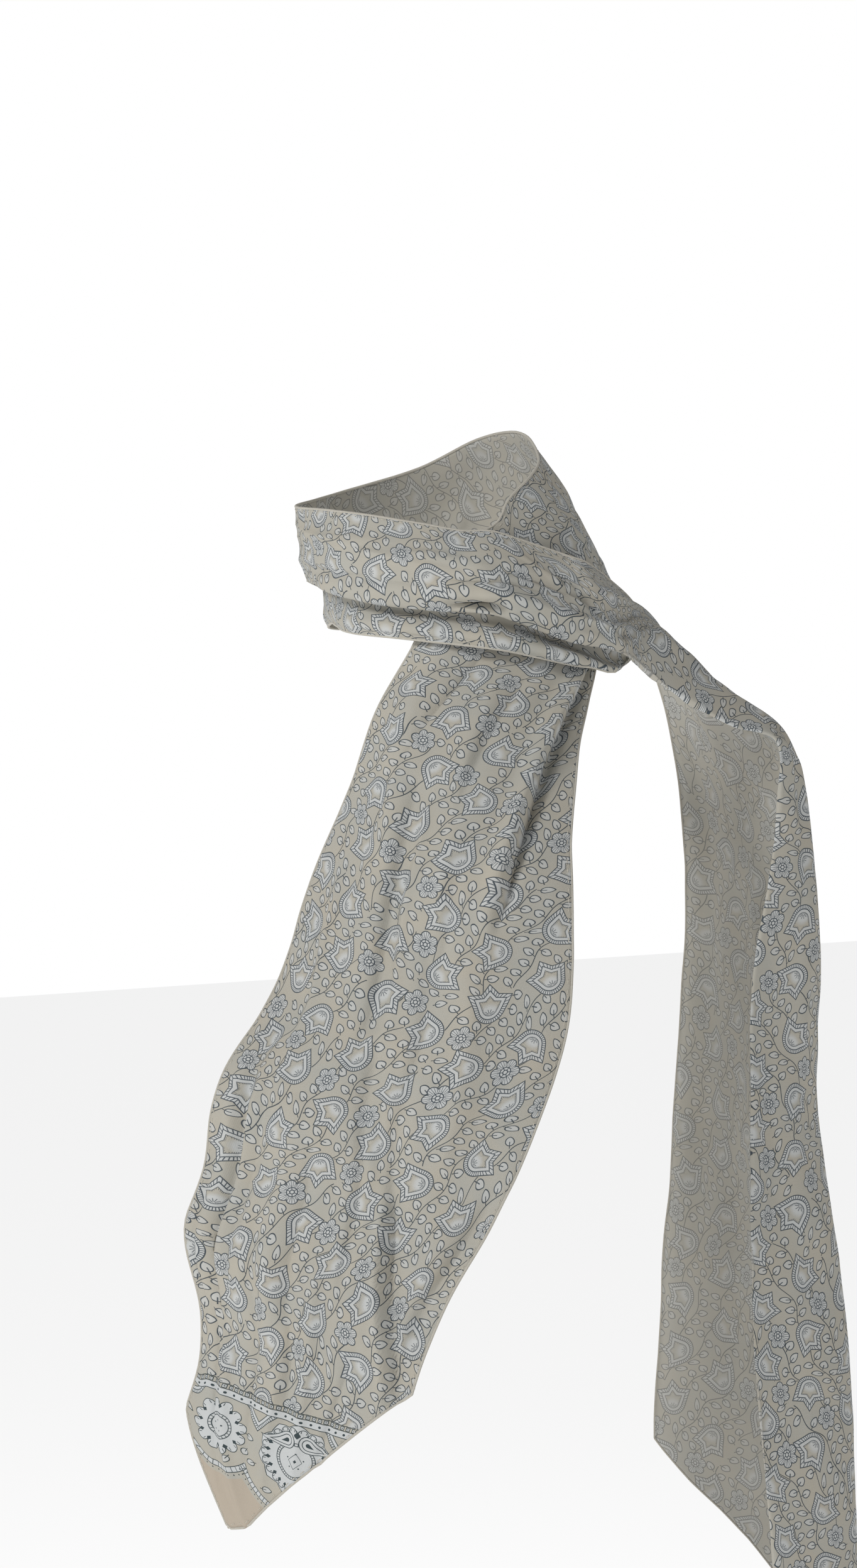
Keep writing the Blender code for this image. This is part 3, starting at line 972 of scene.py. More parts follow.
def vine_group():
    """Waving vines with leaves on both sides, and the middle of the leaf at each place."""
    results = numbered("Leaf Lines", "Leaf White", "Vine", "Leaf X", "Leaf Y")
    tree, given, end = new_group("leafy_vines", numbered("X", "Y"), results)
    sine, cosine = math.sin(VINE_TURN), math.cos(VINE_TURN)
    y = given["Y"] * cosine - given["X"] * sine

    def wave(along, wave_length, height):
        return (along * (FULL_TURN / wave_length)).math("SINE") * height

    def wave_at(along):
        return wave(along, VINE_WAVE_LENGTH, VINE_WAVE) + wave(along, VINE_SWING_LENGTH, VINE_SWING)

    x = given["X"] * cosine + given["Y"] * sine + wave(y, VINE_BEND_LENGTH, VINE_BEND)
    level = y - wave_at(x)
    row = level.over(VINE_PITCH).floor()
    middle = (row + 0.5) * VINE_PITCH
    off = level - middle
    side = off.math("SIGN")
    shift = side * LEAF_SIDE_SHIFT + row * LEAF_VINE_SHIFT
    count = (x.over(LEAF_PITCH) + shift).math("ROUND")
    leaf_along = (count - shift) * LEAF_PITCH
    lean = Value(tree, chance_node(tree, count, row, side).outputs["Value"]) - 0.5
    lean = lean * LEAF_LEAN_CHANCE + LEAF_LEAN
    stretch = (x.over(VINE_STRETCH * LEAF_PITCH) + row * VINE_STRETCH_SHIFT).floor()
    shown = Value(tree, chance_node(tree, stretch, row, row).outputs["Value"]).below(VINE_SHOWN)
    across = x - leaf_along
    out = abs(off) - LEAF_PLACE
    lean_sine, lean_cosine = lean.math("SINE"), lean.math("COSINE")
    drop_along = across * lean_sine + out * lean_cosine
    drop_across = abs(across * lean_cosine - out * lean_sine)
    radius = length(drop_along, drop_across)
    side_centre = (LEAF_POINT**2 - LEAF_ROUND**2) / (2 * LEAF_ROUND)
    tip = length(drop_across + side_centre, drop_along) - side_centre
    edge = blend_values(tree, drop_along.above(0.0), radius, tip) - LEAF_ROUND
    rib = line(drop_across, RIB_LINE) * between(drop_along, -LEAF_PLACE, RIB_REACH)
    leaf_y = middle + wave_at(leaf_along) + side * (LEAF_PLACE + LEAF_MIDDLE)
    leaf_x = leaf_along - wave(leaf_y, VINE_BEND_LENGTH, VINE_BEND)
    give(
        end,
        Leaf_Lines=most(line(edge), rib),
        Leaf_White=inside(edge),
        Vine=line(off) * shown,
        Leaf_X=leaf_x * cosine - leaf_y * sine,
        Leaf_Y=leaf_x * sine + leaf_y * cosine,
    )
    return tree


# How far a leaf's middle keeps from a flower head's outline and from a rosette's middle, and
# how far from a head's outline every leaf and vine is cut off
HEAD_GAP = 0.17
ROSETTE_GAP = 0.66
HEAD_HALO = 0.03


def field_group(groups):
    """The allover print: flower heads and rosettes scattered over a ground of leafy vines."""
    tree, given, end = new_group("allover_print", numbered("X", "Y"), numbered("Lines", "White"))
    x, y = given["X"], given["Y"]
    shift_x, shift_y = ROSETTE_SHIFT

    def motifs_at(at_x, at_y, seed, stray):
        place = place_group(tree, groups["scattered"], X=at_x, Y=at_y, Seed=seed, Stray=stray)
        return place["Local X"], place["Local Y"], place["Pick"]

    def heads_at(at_x, at_y):
        return motifs_at(at_x, at_y, HEAD_SEED, HEAD_STRAY)

    def rosettes_at(at_x, at_y):
        return motifs_at(at_x + shift_x, at_y + shift_y, ROSETTE_SEED, ROSETTE_STRAY)

    local_x, local_y, _ = heads_at(x, y)
    head = place_group(tree, groups["head"], X=local_x, Y=local_y)
    local_x, local_y, pick = rosettes_at(x, y)
    rosette = place_group(tree, groups["rosette"], X=local_x, Y=local_y)
    shown = pick.below(ROSETTE_SHARE)
    vine = place_group(tree, groups["vine"], X=x, Y=y)
    leaf_x, leaf_y = vine["Leaf X"], vine["Leaf Y"]
    local_x, local_y, _ = heads_at(leaf_x, leaf_y)
    near = place_group(tree, groups["head_edge"], X=local_x, Y=local_y)
    clear = near["Edge"].above(HEAD_GAP)
    local_x, local_y, pick = rosettes_at(leaf_x, leaf_y)
    away = length(local_x, local_y).above(ROSETTE_GAP)
    clear = clear * most(away, 1.0 - pick.below(ROSETTE_SHARE))
    rosette_lines, rosette_white = rosette["Lines"] * shown, rosette["White"] * shown
    free = inside(HEAD_HALO - head["Edge"]) * (1.0 - rosette_white)
    leaf_lines, leaf_white = vine["Leaf Lines"] * clear * free, vine["Leaf White"] * clear * free
    stem = vine["Vine"] * free * (1.0 - leaf_white)
    ring_gap = 1.0 - inside(head["Edge"])
    lines = most(head["Lines"], rosette_lines * ring_gap, leaf_lines, stem)
    give(end, Lines=lines, White=most(head["White"], rosette_white, leaf_white * LEAF_WHITE))
    return tree


# Border, in centimetres below its first line: the row of squares, each with an eye, and the
# white row of dots
SQUARES_FOOT = 0.30
SQUARE_PITCH = 0.29
SQUARE_HALF = 0.085
SQUARE_EYE = 0.028
ROW_LINE_INSET = 0.01
DOTS_FOOT = 0.66
DOT_PITCH = 0.43
DOT_ROUND = 0.066

# Hanging brackets: their pitch and shift across, half width, steepness, the width of the
# ladder and of the white band inside it, and the pitch of the rungs
BRACKET_PITCH = 4.3
BRACKET_SHIFT = 3.25
BRACKET_HALF = 0.98
BRACKET_STEEP = 0.90
BRACKET_BAND = 0.17
RUNG_PITCH = 0.12

# The small and the large flower: how far down its middle is, its ring, its petals, their
# round and how far out they stand
SMALL_FLOWER = (2.35, 0.70, 12, 0.28, 1.16)
LARGE_FLOWER = (2.6, 0.98, 22, 0.20, 1.55)

# In each flower: the ring's width, how far the petals' hatching and their outline run, the
# place and round of the dots in the core, and the place, flatness and size of the eyes
RING_WIDTH = 0.14
PETAL_HATCH_SHARE = 0.6
PETAL_OUTLINE_SHARE = 0.98
CORE_DOTS = 5
CORE_PLACE_SHARE = 0.42
CORE_DOT_ROUND = 0.04
EYE_PLACE_SHARE = 0.93
EYE_FLATNESS = 0.8
EYE_SIZE = 0.11

# The two paisley drops over the large flower: their place aside and up, their turn as a
# cosine and sine, bend, round, length, and how far in their second line and dark heart lie
DROP_ASIDE = 0.48
DROP_RISE = 1.0
DROP_TURN = (0.90, 0.44)
DROP_BEND = 0.30
DROP_ROUND = 0.42
DROP_LENGTH = 1.30
DROP_BAND = 0.15
DROP_HEART = 0.31

# Diamonds on the large flower's middle line: width against height, and half height
DIAMOND_WIDTH = 1.25
DIAMOND_SIZES = (0.42, 0.10)
GEM_WIDTH = 1.3
GEM_RISE = 1.38
GEM_SIZE = 0.17

# Scallops round the large flower: how many, from which radius, and how deep
SCALLOPS = 11
SCALLOP_FROM = 1.95
SCALLOP_DEPTH = 0.45
SCALLOP_LINE_FROM = 1.2

# Ladder arcs under the large and the small flower, the ticks of each, their width, how far
# one arc is hidden inside the other, and the dots outside them
ARC_ROUND = 3.3
ARC_TICKS = 84
SMALL_ARC_ROUND = 2.35
SMALL_ARC_TICKS = 56
ARC_WIDTH = 0.28
ARC_OVERLAP = 0.25
ARC_DOT_PLACE = 0.14
ARC_DOT_ROUND = 0.035

# The bare margin: its gap outside the arcs, and how far down all is bare
MARGIN_GAP = 0.32
MARGIN_DROP = 6.9

# How far a leaf in the border keeps from the small and the large flower's middle, from a
# bracket, from the arcs and below the row of dots
TWIG_SMALL_GAP = 1.62
TWIG_LARGE_GAP = 2.35
TWIG_BRACKET_GAP = 0.3
TWIG_ARC_GAP = 0.65
TWIG_ROW_GAP = 0.4


def medallion(x, y, ring, petals, petal_round, place):
    """Lines and white of a round flower: a ticked ring and petals with a dark eye between."""
    radius = length(x, y)
    angle = x.math("ARCTAN2", y)
    petal = length(*petal_place(angle, radius, petals, place)) - petal_round
    edge = least(petal, radius - place)
    tick = line(spokes(angle, radius, 2 * petals), TICK_LINE)
    ladder = tick * between(radius, ring - RING_WIDTH, ring)
    hatch = tick * between(radius, place, place + PETAL_HATCH_SHARE * petal_round) * inside(petal)
    rings = [line(radius - size) for size in (ring, ring - RING_WIDTH)]
    core_spoke = spokes(angle, radius, CORE_DOTS)
    core = inside(length(radius - CORE_PLACE_SHARE * ring, core_spoke) - CORE_DOT_ROUND)
    gap = (angle * (petals / FULL_TURN) + 0.5).centred() * (FULL_TURN / petals)
    eye = abs(radius - EYE_PLACE_SHARE * place) * EYE_FLATNESS + abs(radius * gap) - EYE_SIZE
    outline = line(petal) * inside(PETAL_OUTLINE_SHARE * place - radius)
    return most(outline, ladder, hatch, core, inside(eye), *rings), inside(edge)


def ladder_arc(x, y, radius, edge, ticks):
    """A round ladder just inside an edge, with a row of dots just outside it."""
    angle = x.math("ARCTAN2", y)
    tick = line(spokes(angle, radius, ticks), TICK_LINE) * between(edge, -ARC_WIDTH, 0.0)
    aside = (angle * (ticks / FULL_TURN)).centred() * (FULL_TURN / ticks) * radius
    dot = length(aside, edge - ARC_DOT_PLACE) - ARC_DOT_ROUND
    return most(line(edge), line(edge + ARC_WIDTH), tick, inside(dot))


def rows_of_border(drop, across):
    """Lines and white of the row of squares and the row of dots."""
    cell = (across * (1 / SQUARE_PITCH)).centred() * SQUARE_PITCH
    square = most(abs(cell), abs(drop - 0.5 * SQUARES_FOOT))
    square_lines = most(
        line(square - SQUARE_HALF, RIB_LINE),
        inside(square - SQUARE_EYE),
        line(drop - ROW_LINE_INSET, STRONG_LINE),
        line(drop + ROW_LINE_INSET - SQUARES_FOOT, STRONG_LINE),
    )
    cell = (across * (1 / DOT_PITCH)).centred() * DOT_PITCH
    dot = length(cell, drop - 0.5 * (SQUARES_FOOT + DOTS_FOOT)) - DOT_ROUND
    dot_lines = most(inside(dot), line(drop - DOTS_FOOT))
    upper, lower = drop.below(SQUARES_FOOT), drop.above(SQUARES_FOOT)
    white = most(between(drop, SQUARES_FOOT, DOTS_FOOT), inside(square - SQUARE_HALF) * upper)
    return square_lines * upper, dot_lines * lower, white


def hanging_brackets(drop, across):
    """Lines and white of the brackets that hang from the rows."""
    below = drop - DOTS_FOOT
    from_bracket = abs(((across + BRACKET_SHIFT) * (1 / BRACKET_PITCH)).centred()) * BRACKET_PITCH
    steep = 1 / math.hypot(1, BRACKET_STEEP)
    bracket = (from_bracket + below * BRACKET_STEEP - BRACKET_HALF) * steep
    run = (from_bracket * BRACKET_STEEP - below) * steep
    rung = abs((run * (1 / RUNG_PITCH)).centred()) * RUNG_PITCH
    lines = most(
        line(bracket),
        line(bracket + BRACKET_BAND),
        line(bracket + 2 * BRACKET_BAND),
        line(rung, TICK_LINE) * between(bracket, -BRACKET_BAND, 0.0),
    )
    return lines, between(bracket, -2 * BRACKET_BAND, 0.0)


def paisley_pair(large_x, drop, large_drop):
    """Lines and mask of two paisley drops, with the diamonds between and below them."""
    cosine, sine = DROP_TURN
    aside = abs(large_x) - DROP_ASIDE
    lift = drop - (large_drop - DROP_RISE)
    along = aside * cosine + lift * sine
    bend = aside * sine - lift * cosine - along * along * DROP_BEND
    radius = length(along, bend)
    paisley = teardrop(along, abs(bend), radius, DROP_ROUND, DROP_LENGTH)
    diamond = abs(large_x) * DIAMOND_WIDTH + abs(drop - large_drop)
    gem = abs(large_x) * GEM_WIDTH + abs(drop - (large_drop - GEM_RISE))
    outer, inner = DIAMOND_SIZES
    lines = most(
        line(paisley),
        line(paisley + DROP_BAND),
        inside(paisley + DROP_HEART),
        line(diamond - outer),
        inside(diamond - inner),
        inside(gem - GEM_SIZE),
    )
    return lines, inside(paisley)


def border_group(groups):
    """The border across each end: squares, dots, brackets, medallions, arcs and a bare margin."""
    results = numbered("Lines", "White", "Margin")
    tree, given, end = new_group("end_border", numbered("Drop", "Across"), results)
    drop, across = given["Drop"], given["Across"]
    small_drop, *small_sizes = SMALL_FLOWER
    large_drop, *large_sizes = LARGE_FLOWER
    pair = 2 * BRACKET_PITCH

    def flowers_from(at_drop, at_across):
        half = (at_across + BRACKET_SHIFT) * (1 / pair)
        small_x, large_x = (half + 0.5).centred() * pair, half.centred() * pair
        from_small = length(small_x, at_drop - small_drop)
        return half, small_x, large_x, from_small, length(large_x, at_drop - large_drop)

    square_lines, dot_lines, row_white = rows_of_border(drop, across)
    bracket_lines, bracket_white = hanging_brackets(drop, across)
    under = inside(DOTS_FOOT - drop)
    bracket_lines, bracket_white = bracket_lines * under, bracket_white * under
    _, small_x, large_x, from_small, from_large = flowers_from(drop, across)
    small_lines, small_white = medallion(small_x, drop - small_drop, *small_sizes)
    large_lines, large_white = medallion(large_x, drop - large_drop, *large_sizes)
    paisley_lines, paisley_on = paisley_pair(large_x, drop, large_drop)

    low = drop.above(small_drop)
    large_arc, small_arc = from_large - ARC_ROUND, from_small - SMALL_ARC_ROUND
    large_ladder = ladder_arc(large_x, drop - large_drop, from_large, large_arc, ARC_TICKS)
    small_ladder = ladder_arc(small_x, drop - small_drop, from_small, small_arc, SMALL_ARC_TICKS)
    arc_lines = most(
        large_ladder * inside(-ARC_OVERLAP - small_arc),
        small_ladder * inside(-ARC_OVERLAP - large_arc),
    ) * low
    scallop_angle = large_x.math("ARCTAN2", drop - large_drop)
    scallop_wave = abs((scallop_angle * (SCALLOPS / FULL_TURN)).centred())
    scallop = from_large - SCALLOP_FROM + scallop_wave * SCALLOP_DEPTH
    cloud = inside(scallop) * inside(large_sizes[0] - from_large)
    arc_lines = most(arc_lines, line(scallop) * inside(SCALLOP_LINE_FROM - from_large))
    outside = least(large_arc, small_arc)
    margin = most(drop.above(MARGIN_DROP), inside(MARGIN_GAP - outside) * low)

    lines = most(arc_lines * (1.0 - large_white), large_lines) * (1.0 - paisley_on)
    lines = most(lines, paisley_lines, small_lines) * under
    lines = most(lines * (1.0 - bracket_white), bracket_lines, square_lines, dot_lines)
    white = most(large_white, cloud, paisley_on) * under
    white = most(white, bracket_white, row_white, small_white)
    white = most(white, between(outside, -ARC_WIDTH, 0.0) * low)

    vine = place_group(tree, groups["vine"], X=drop, Y=across)
    leaf_drop = vine["Leaf X"]
    half, _, _, leaf_small, leaf_large = flowers_from(leaf_drop, vine["Leaf Y"])
    leaf_bracket = abs((half * 2.0).centred()) * BRACKET_PITCH
    leaf_bracket = leaf_bracket + (leaf_drop - DOTS_FOOT) * BRACKET_STEEP
    leaf_outside = least(leaf_small - SMALL_ARC_ROUND, leaf_large - ARC_ROUND)
    twig = leaf_small.above(TWIG_SMALL_GAP) * leaf_large.above(TWIG_LARGE_GAP)
    twig = twig * leaf_bracket.above(BRACKET_HALF + TWIG_BRACKET_GAP)
    twig = twig * leaf_outside.below(-TWIG_ARC_GAP) * leaf_drop.above(DOTS_FOOT + TWIG_ROW_GAP)
    twig = twig * (1.0 - white)
    lines = most(lines, vine["Leaf Lines"] * twig)
    white = most(white, vine["Leaf White"] * twig * LEAF_WHITE)
    printed = 1.0 - margin
    give(end, Lines=lines * printed, White=white * printed, Margin=margin)
    return tree


# The sway of the drawing and the mottling of the ground: scale and detail of each noise, and
# how strongly the ground is mottled
SWAY_NOISE = (24.0, 1.0)
MOTTLE_NOISE = (52.0, 3.0)
MOTTLE_CONTRAST = 2.6


def print_group(groups, settings):
    """The colour of the printed cotton at a place on the flat cloth."""
    labels = [("Flat Place", VECTOR), ("Above Band", NUMBER)]
    tree, given, end = new_group("scarf_print", labels, [("Colour", COLOUR)])
    flat_place = given["Flat Place"]
    x, y = parts_of(tree, "ShaderNodeSeparateXYZ", flat_place.socket)[:2]
    x, y = x * (1 / CENTIMETRE), y * (1 / CENTIMETRE)
    sway = noise_node(tree, flat_place, *SWAY_NOISE).outputs["Color"]
    sway_x, sway_y = parts_of(tree, "ShaderNodeSeparateColor", sway)[:2]
    x = x + (sway_x - 0.5) * settings.hand_sway
    y = y + (sway_y - 0.5) * settings.hand_sway
    field = place_group(tree, groups["field"], X=x, Y=y)
    drop = -given["Above Band"]
    border = place_group(tree, groups["border"], Drop=drop, Across=y)
    at_end = drop.above(0.0)
    lines = blend_values(tree, at_end, field["Lines"], border["Lines"])
    white = blend_values(tree, at_end, field["White"], border["White"])
    mottle = noise_value(tree, flat_place, *MOTTLE_NOISE) - 0.5
    mottle = mottle.math("MULTIPLY_ADD", MOTTLE_CONTRAST, 0.5, clamp=True)
    ground = mix_colours(tree, mottle, tuple(settings.ground_cool), tuple(settings.ground_warm))
    margin = border["Margin"] * at_end
    ground = mix_colours(tree, margin, ground, tuple(settings.margin_colour))
    more = settings.border_white_strength - settings.white_strength
    strength = at_end * more + settings.white_strength
    fill = mix_colours(tree, white * strength, ground, tuple(settings.white_colour))
    ink = mix_colours(tree, at_end, tuple(settings.line_colour), tuple(settings.border_colour))
    give(end, Colour=mix_colours(tree, lines * settings.line_strength, fill, ink))
    return tree


# The weave's relief: the scale, distortion and detail of its threads, the scale and detail of
# the slubs and of the soft unevenness, and how high each stands
THREAD_WAVE = {"Scale": 620.0, "Distortion": 1.5, "Detail": 1.0}
SLUB_NOISE = (260.0, 3.0)
SOFT_NOISE = (70.0, 4.0)
THREAD_HEIGHT = 0.22
SLUB_HEIGHT = 0.5
SOFT_HEIGHT = 1.1


def weave_group():
    """The height of a fine plain weave with slubs, at a place on the flat cloth."""
    tree, given, end = new_group("fine_weave", [("Flat Place", VECTOR)], numbered("Height"))
    flat_place = given["Flat Place"]
    heights = []
    for bands in ("X", "Y"):
        node = tree.nodes.new("ShaderNodeTexWave")
        node.bands_direction = bands
        for label, size in THREAD_WAVE.items():
            node.inputs[label].default_value = size
        tree.links.new(flat_place.socket, node.inputs["Vector"])
        heights.append(Value(tree, node.outputs[1]) * THREAD_HEIGHT)
    slub = noise_value(tree, flat_place, *SLUB_NOISE) * SLUB_HEIGHT
    soft = noise_value(tree, flat_place, *SOFT_NOISE) * SOFT_HEIGHT
    give(end, Height=heights[0] + heights[1] + slub + soft)
    return tree


# The surface of the printed cotton, and of the hem and the thread
CLOTH_FINISH = {
    "Roughness": 0.86, "Specular IOR Level": 0.08, "Sheen Weight": 0.02, "Sheen Roughness": 0.5,
}
SEWING_FINISH = {"Roughness": 0.85, "Sheen Weight": 0.1}
SEWING_SHADE = 0.72
SEWING_DETAIL = 3.0
SEWING_BUMP = (0.5, 0.0002)


def new_material(name, colour, finish):
    """A material with its shader's finish set, its node tree and its shader."""
    material = bpy.data.materials.new(name)
    material.use_nodes = True
    material.diffuse_color = tuple(colour)
    shader = material.node_tree.nodes["Principled BSDF"]
    for label, amount in finish.items():
        shader.inputs[label].default_value = amount
    return material.node_tree, shader


def add_relief(tree, shader, height, strength, distance):
    """A bump from a height, on a shader."""
    bump = tree.nodes.new("ShaderNodeBump")
    bump.inputs["Strength"].default_value = strength
    bump.inputs["Distance"].default_value = distance
    tree.links.new(height.socket, bump.inputs["Height"])
    tree.links.new(bump.outputs[0], shader.inputs["Normal"])


def cotton_material(name, groups, settings, wrong_side):
    """Printed cotton on its right side, or with the print showing through on its wrong side."""
    tree, shader = new_material(name, settings.ground_cool, CLOTH_FINISH)
    uv = tree.nodes.new("ShaderNodeUVMap")
    uv.uv_map = "flat_cloth"
    band = tree.nodes.new("ShaderNodeAttribute")
    band.attribute_name = "above_band"
    flat_place = Value(tree, uv.outputs[0])
    above = Value(tree, band.outputs["Fac"])
    printed = place_group(tree, groups["print"], Flat_Place=flat_place, Above_Band=above)
    colour = printed["Colour"]
    if wrong_side:
        colour = mix_colours(tree, settings.wrong_fade, colour, tuple(settings.wrong_colour))
    tree.links.new(colour.socket, shader.inputs["Base Color"])
    weave = place_group(tree, groups["weave"], Flat_Place=flat_place)
    add_relief(tree, shader, weave["Height"], settings.weave_strength, settings.weave_depth)


def plain_material(name, colour, scale):
    """Plain cotton thread or hem, a little uneven in colour."""
    tree, shader = new_material(name, colour, SEWING_FINISH)
    place = tree.nodes.new("ShaderNodeTexCoord")
    uneven = noise_value(tree, Value(tree, place.outputs["Object"]), scale, SEWING_DETAIL)
    darker = tuple(channel * SEWING_SHADE for channel in colour[:3]) + (1.0,)
    mixed = mix_colours(tree, uneven, darker, tuple(colour))
    tree.links.new(mixed.socket, shader.inputs["Base Color"])
    add_relief(tree, shader, uneven, *SEWING_BUMP)
    return bpy.data.materials[name]


def cloth_materials(settings):
    """The right-side and wrong-side materials, made once."""
    names = ("printed_right_side", "printed_wrong_side")
    if names[0] not in bpy.data.materials:
        groups = {
            "scattered": scattered_group(),
            "head_edge": head_edge_group(),
            "rosette": rosette_group(),
            "vine": vine_group(),
            "weave": weave_group(),
        }
        groups["border"] = border_group(groups)
        groups["head"] = head_group(groups)
        groups["field"] = field_group(groups)
        groups["print"] = print_group(groups, settings)
        cotton_material(names[0], groups, settings, wrong_side=False)
        cotton_material(names[1], groups, settings, wrong_side=True)
    return [bpy.data.materials[name] for name in names]


def placed(name, data):
    """An object with the data given, put in the scene at the origin."""
    piece = bpy.data.objects.new(name, data)
    bpy.context.scene.collection.objects.link(piece)
    return piece


def cloth_piece(name, surface, cloth, materials):
    """A thin cloth shell over a grid of points, with its flat places as a UV map."""
    grid, above_band, across = surface
    rows, columns = grid.shape[:2]
    corner = np.arange(rows * columns).reshape(rows, columns)
    faces = np.stack([corner[:-1, :-1], corner[:-1, 1:], corner[1:, 1:], corner[1:, :-1]], axis=-1)
    faces = faces.reshape(-1, 4)
    mesh = bpy.data.meshes.new(name)
    points = grid.reshape(-1, 3) * CENTIMETRE
    mesh.from_pydata(points.tolist(), [], faces.tolist())
    flat = np.stack([above_band, across], axis=-1).reshape(-1, 2) * CENTIMETRE
    layer = mesh.uv_layers.new(name="flat_cloth")
    layer.data.foreach_set("uv", flat[faces.reshape(-1)].ravel())
    band = mesh.attributes.new("above_band", "FLOAT", "POINT")
    band.data.foreach_set("value", above_band.ravel())
    mesh.shade_smooth()
    for material in materials:
        mesh.materials.append(material)
    piece = placed(name, mesh)
    wall = piece.modifiers.new("wall", "SOLIDIFY")
    wall.thickness = cloth.wall
    wall.offset = 0.0
    wall.use_rim = True
    wall.material_offset = 1
    return piece


def polylines(name, lines):
    """A mesh of open lines of points, for a node tree to follow."""
    mesh = bpy.data.meshes.new(name)
    points, edges = [], []
    for run in lines:
        first = len(points)
        points.extend((run * CENTIMETRE).tolist())
        edges.extend((first + k, first + k + 1) for k in range(len(run) - 1))
    mesh.from_pydata(points, edges, [])
    return placed(name, mesh)


GEOMETRY = "NodeSocketGeometry"
MATERIAL = "NodeSocketMaterial"


def geometry_tree(name, inputs):
    """An empty geometry tree that takes a geometry and a material too, and its two ends."""
    tree = bpy.data.node_groups.new(name, "GeometryNodeTree")
    for label, kind in [("Geometry", GEOMETRY), *inputs, ("Material", MATERIAL)]:
        tree.interface.new_socket(label, in_out="INPUT", socket_type=kind)
    tree.interface.new_socket("Geometry", in_out="OUTPUT", socket_type=GEOMETRY)
    start, end = tree.nodes.new("NodeGroupInput"), tree.nodes.new("NodeGroupOutput")
    return tree, start.outputs, end


def add_node(tree, kind, mode=None, **inputs):
    """A node, with its inputs linked to sockets or set to plain values."""
    node = tree.nodes.new(kind)
    if mode:
        node.mode = mode
    for label, item in inputs.items():
        socket = node.inputs[label.replace("_", " ")]
        if isinstance(item, bpy.types.NodeSocket):
            tree.links.new(item, socket)
        else:
            socket.default_value = item
    return node


def realize_and_paint(tree, geometry, given, end):
    """Ends a geometry tree: real faces, smooth, in the material given."""
    for kind in ("GeometryNodeRealizeInstances", "GeometryNodeSetShadeSmooth"):
        node = tree.nodes.new(kind)
        tree.links.new(geometry, node.inputs[0])
        geometry = node.outputs[0]
    paint = add_node(tree, "GeometryNodeSetMaterial", Geometry=geometry, Material=given["Material"])
    tree.links.new(paint.outputs[0], end.inputs["Geometry"])


# How many sides the rolled hem and the thread have
ROLL_SIDES = 8
THREAD_SIDES = 6


def rolled_hem_tree():
    """A slim round roll along every line of points."""
    tree, given, end = geometry_tree("rolled_hem", numbered("Roll Radius", "Step"))
    follow = add_node(tree, "GeometryNodeMeshToCurve", Mesh=given["Geometry"])
    spaced = add_node(
        tree, "GeometryNodeResampleCurve", "LENGTH", Curve=follow.outputs[0], Length=given["Step"]
    )
    circle = add_node(
        tree, "GeometryNodeCurvePrimitiveCircle", Resolution=ROLL_SIDES, Radius=given["Roll Radius"]
    )
    sweep = add_node(
        tree, "GeometryNodeCurveToMesh", Curve=spaced.outputs[0],
        Profile_Curve=circle.outputs["Curve"], Fill_Caps=True,
    )
    realize_and_paint(tree, sweep.outputs[0], given, end)
    return tree


def stitch_tree():
    """A short thread at every step along each line of points."""
    inputs = numbered("Spacing", "Stitch Length", "Thread Radius")
    tree, given, end = geometry_tree("hem_stitches", inputs)
    follow = add_node(tree, "GeometryNodeMeshToCurve", Mesh=given["Geometry"])
    points = add_node(
        tree, "GeometryNodeCurveToPoints", "LENGTH", Curve=follow.outputs[0],
        Length=given["Spacing"],
    )
    thread = add_node(
        tree, "GeometryNodeMeshCylinder", Vertices=THREAD_SIDES, Radius=given["Thread Radius"],
        Depth=given["Stitch Length"],
    )
    place = add_node(
        tree, "GeometryNodeInstanceOnPoints", Points=points.outputs["Points"],
        Instance=thread.outputs["Mesh"], Rotation=points.outputs["Rotation"],
    )
    realize_and_paint(tree, place.outputs[0], given, end)
    return tree


def made_by_nodes(name, guide, tree, **inputs):
    """The plain mesh that a geometry tree makes from a guide, which is then removed."""
    modifier = guide.modifiers.new(name, "NODES")
    modifier.node_group = tree
    for item in tree.interface.items_tree:
        label = item.name.replace(" ", "_")
        if item.in_out == "INPUT" and label in inputs:
            modifier[item.identifier] = inputs[label]
    bpy.context.view_layer.update()
    ready = guide.evaluated_get(bpy.context.evaluated_depsgraph_get())
    mesh = bpy.data.meshes.new_from_object(ready)
    mesh.name = name
    piece = placed(name, mesh)
    bpy.data.objects.remove(guide)
    return piece


def edge_runs(grid):
    """The side edges and the cut end of a cloth grid, each with the way in from it."""
    runs = []
    for edge, inner in ((grid[:, 0], grid[:, 1]), (grid[:, -1], grid[:, -2]), (grid[-1], grid[-2])):
        inward = inner - edge
        inward /= np.maximum(np.linalg.norm(inward, axis=1, keepdims=True), TINY)
        runs.append((edge, inward))
    return runs


def stitch_runs(grid, inset, lift):
    """Lines just inside each hem, on the cloth's right side."""
    facing = facings(grid)
    sides = zip(edge_runs(grid), (facing[:, 0], facing[:, -1], facing[-1]))
    return [edge + inward * inset + out * lift for (edge, inward), out in sides]


def colour_setting(name, description, *colour):
    """A colour, as red, green and blue."""
    return FloatVectorProperty(
        name=name, description=description, subtype="COLOR", size=4, default=(*colour, 1.0),
        min=0.0, max=1.0,
    )


def share_setting(name, description, default):
    """A share from 0 to 1."""
    return FloatProperty(
        name=name, description=description, default=default, min=0.0, max=1.0, subtype="FACTOR"
    )


def size_setting(name, description, default, smallest=0.0):
    """A size in metres."""
    return FloatProperty(
        name=name, description=description, default=default, min=smallest, unit="LENGTH"
    )


class ScarfClothSettings(bpy.types.PropertyGroup):
    """Sizes of the cloth itself."""

    wall: size_setting("Wall", "Thickness of the cloth", 0.0006, 0.0001)


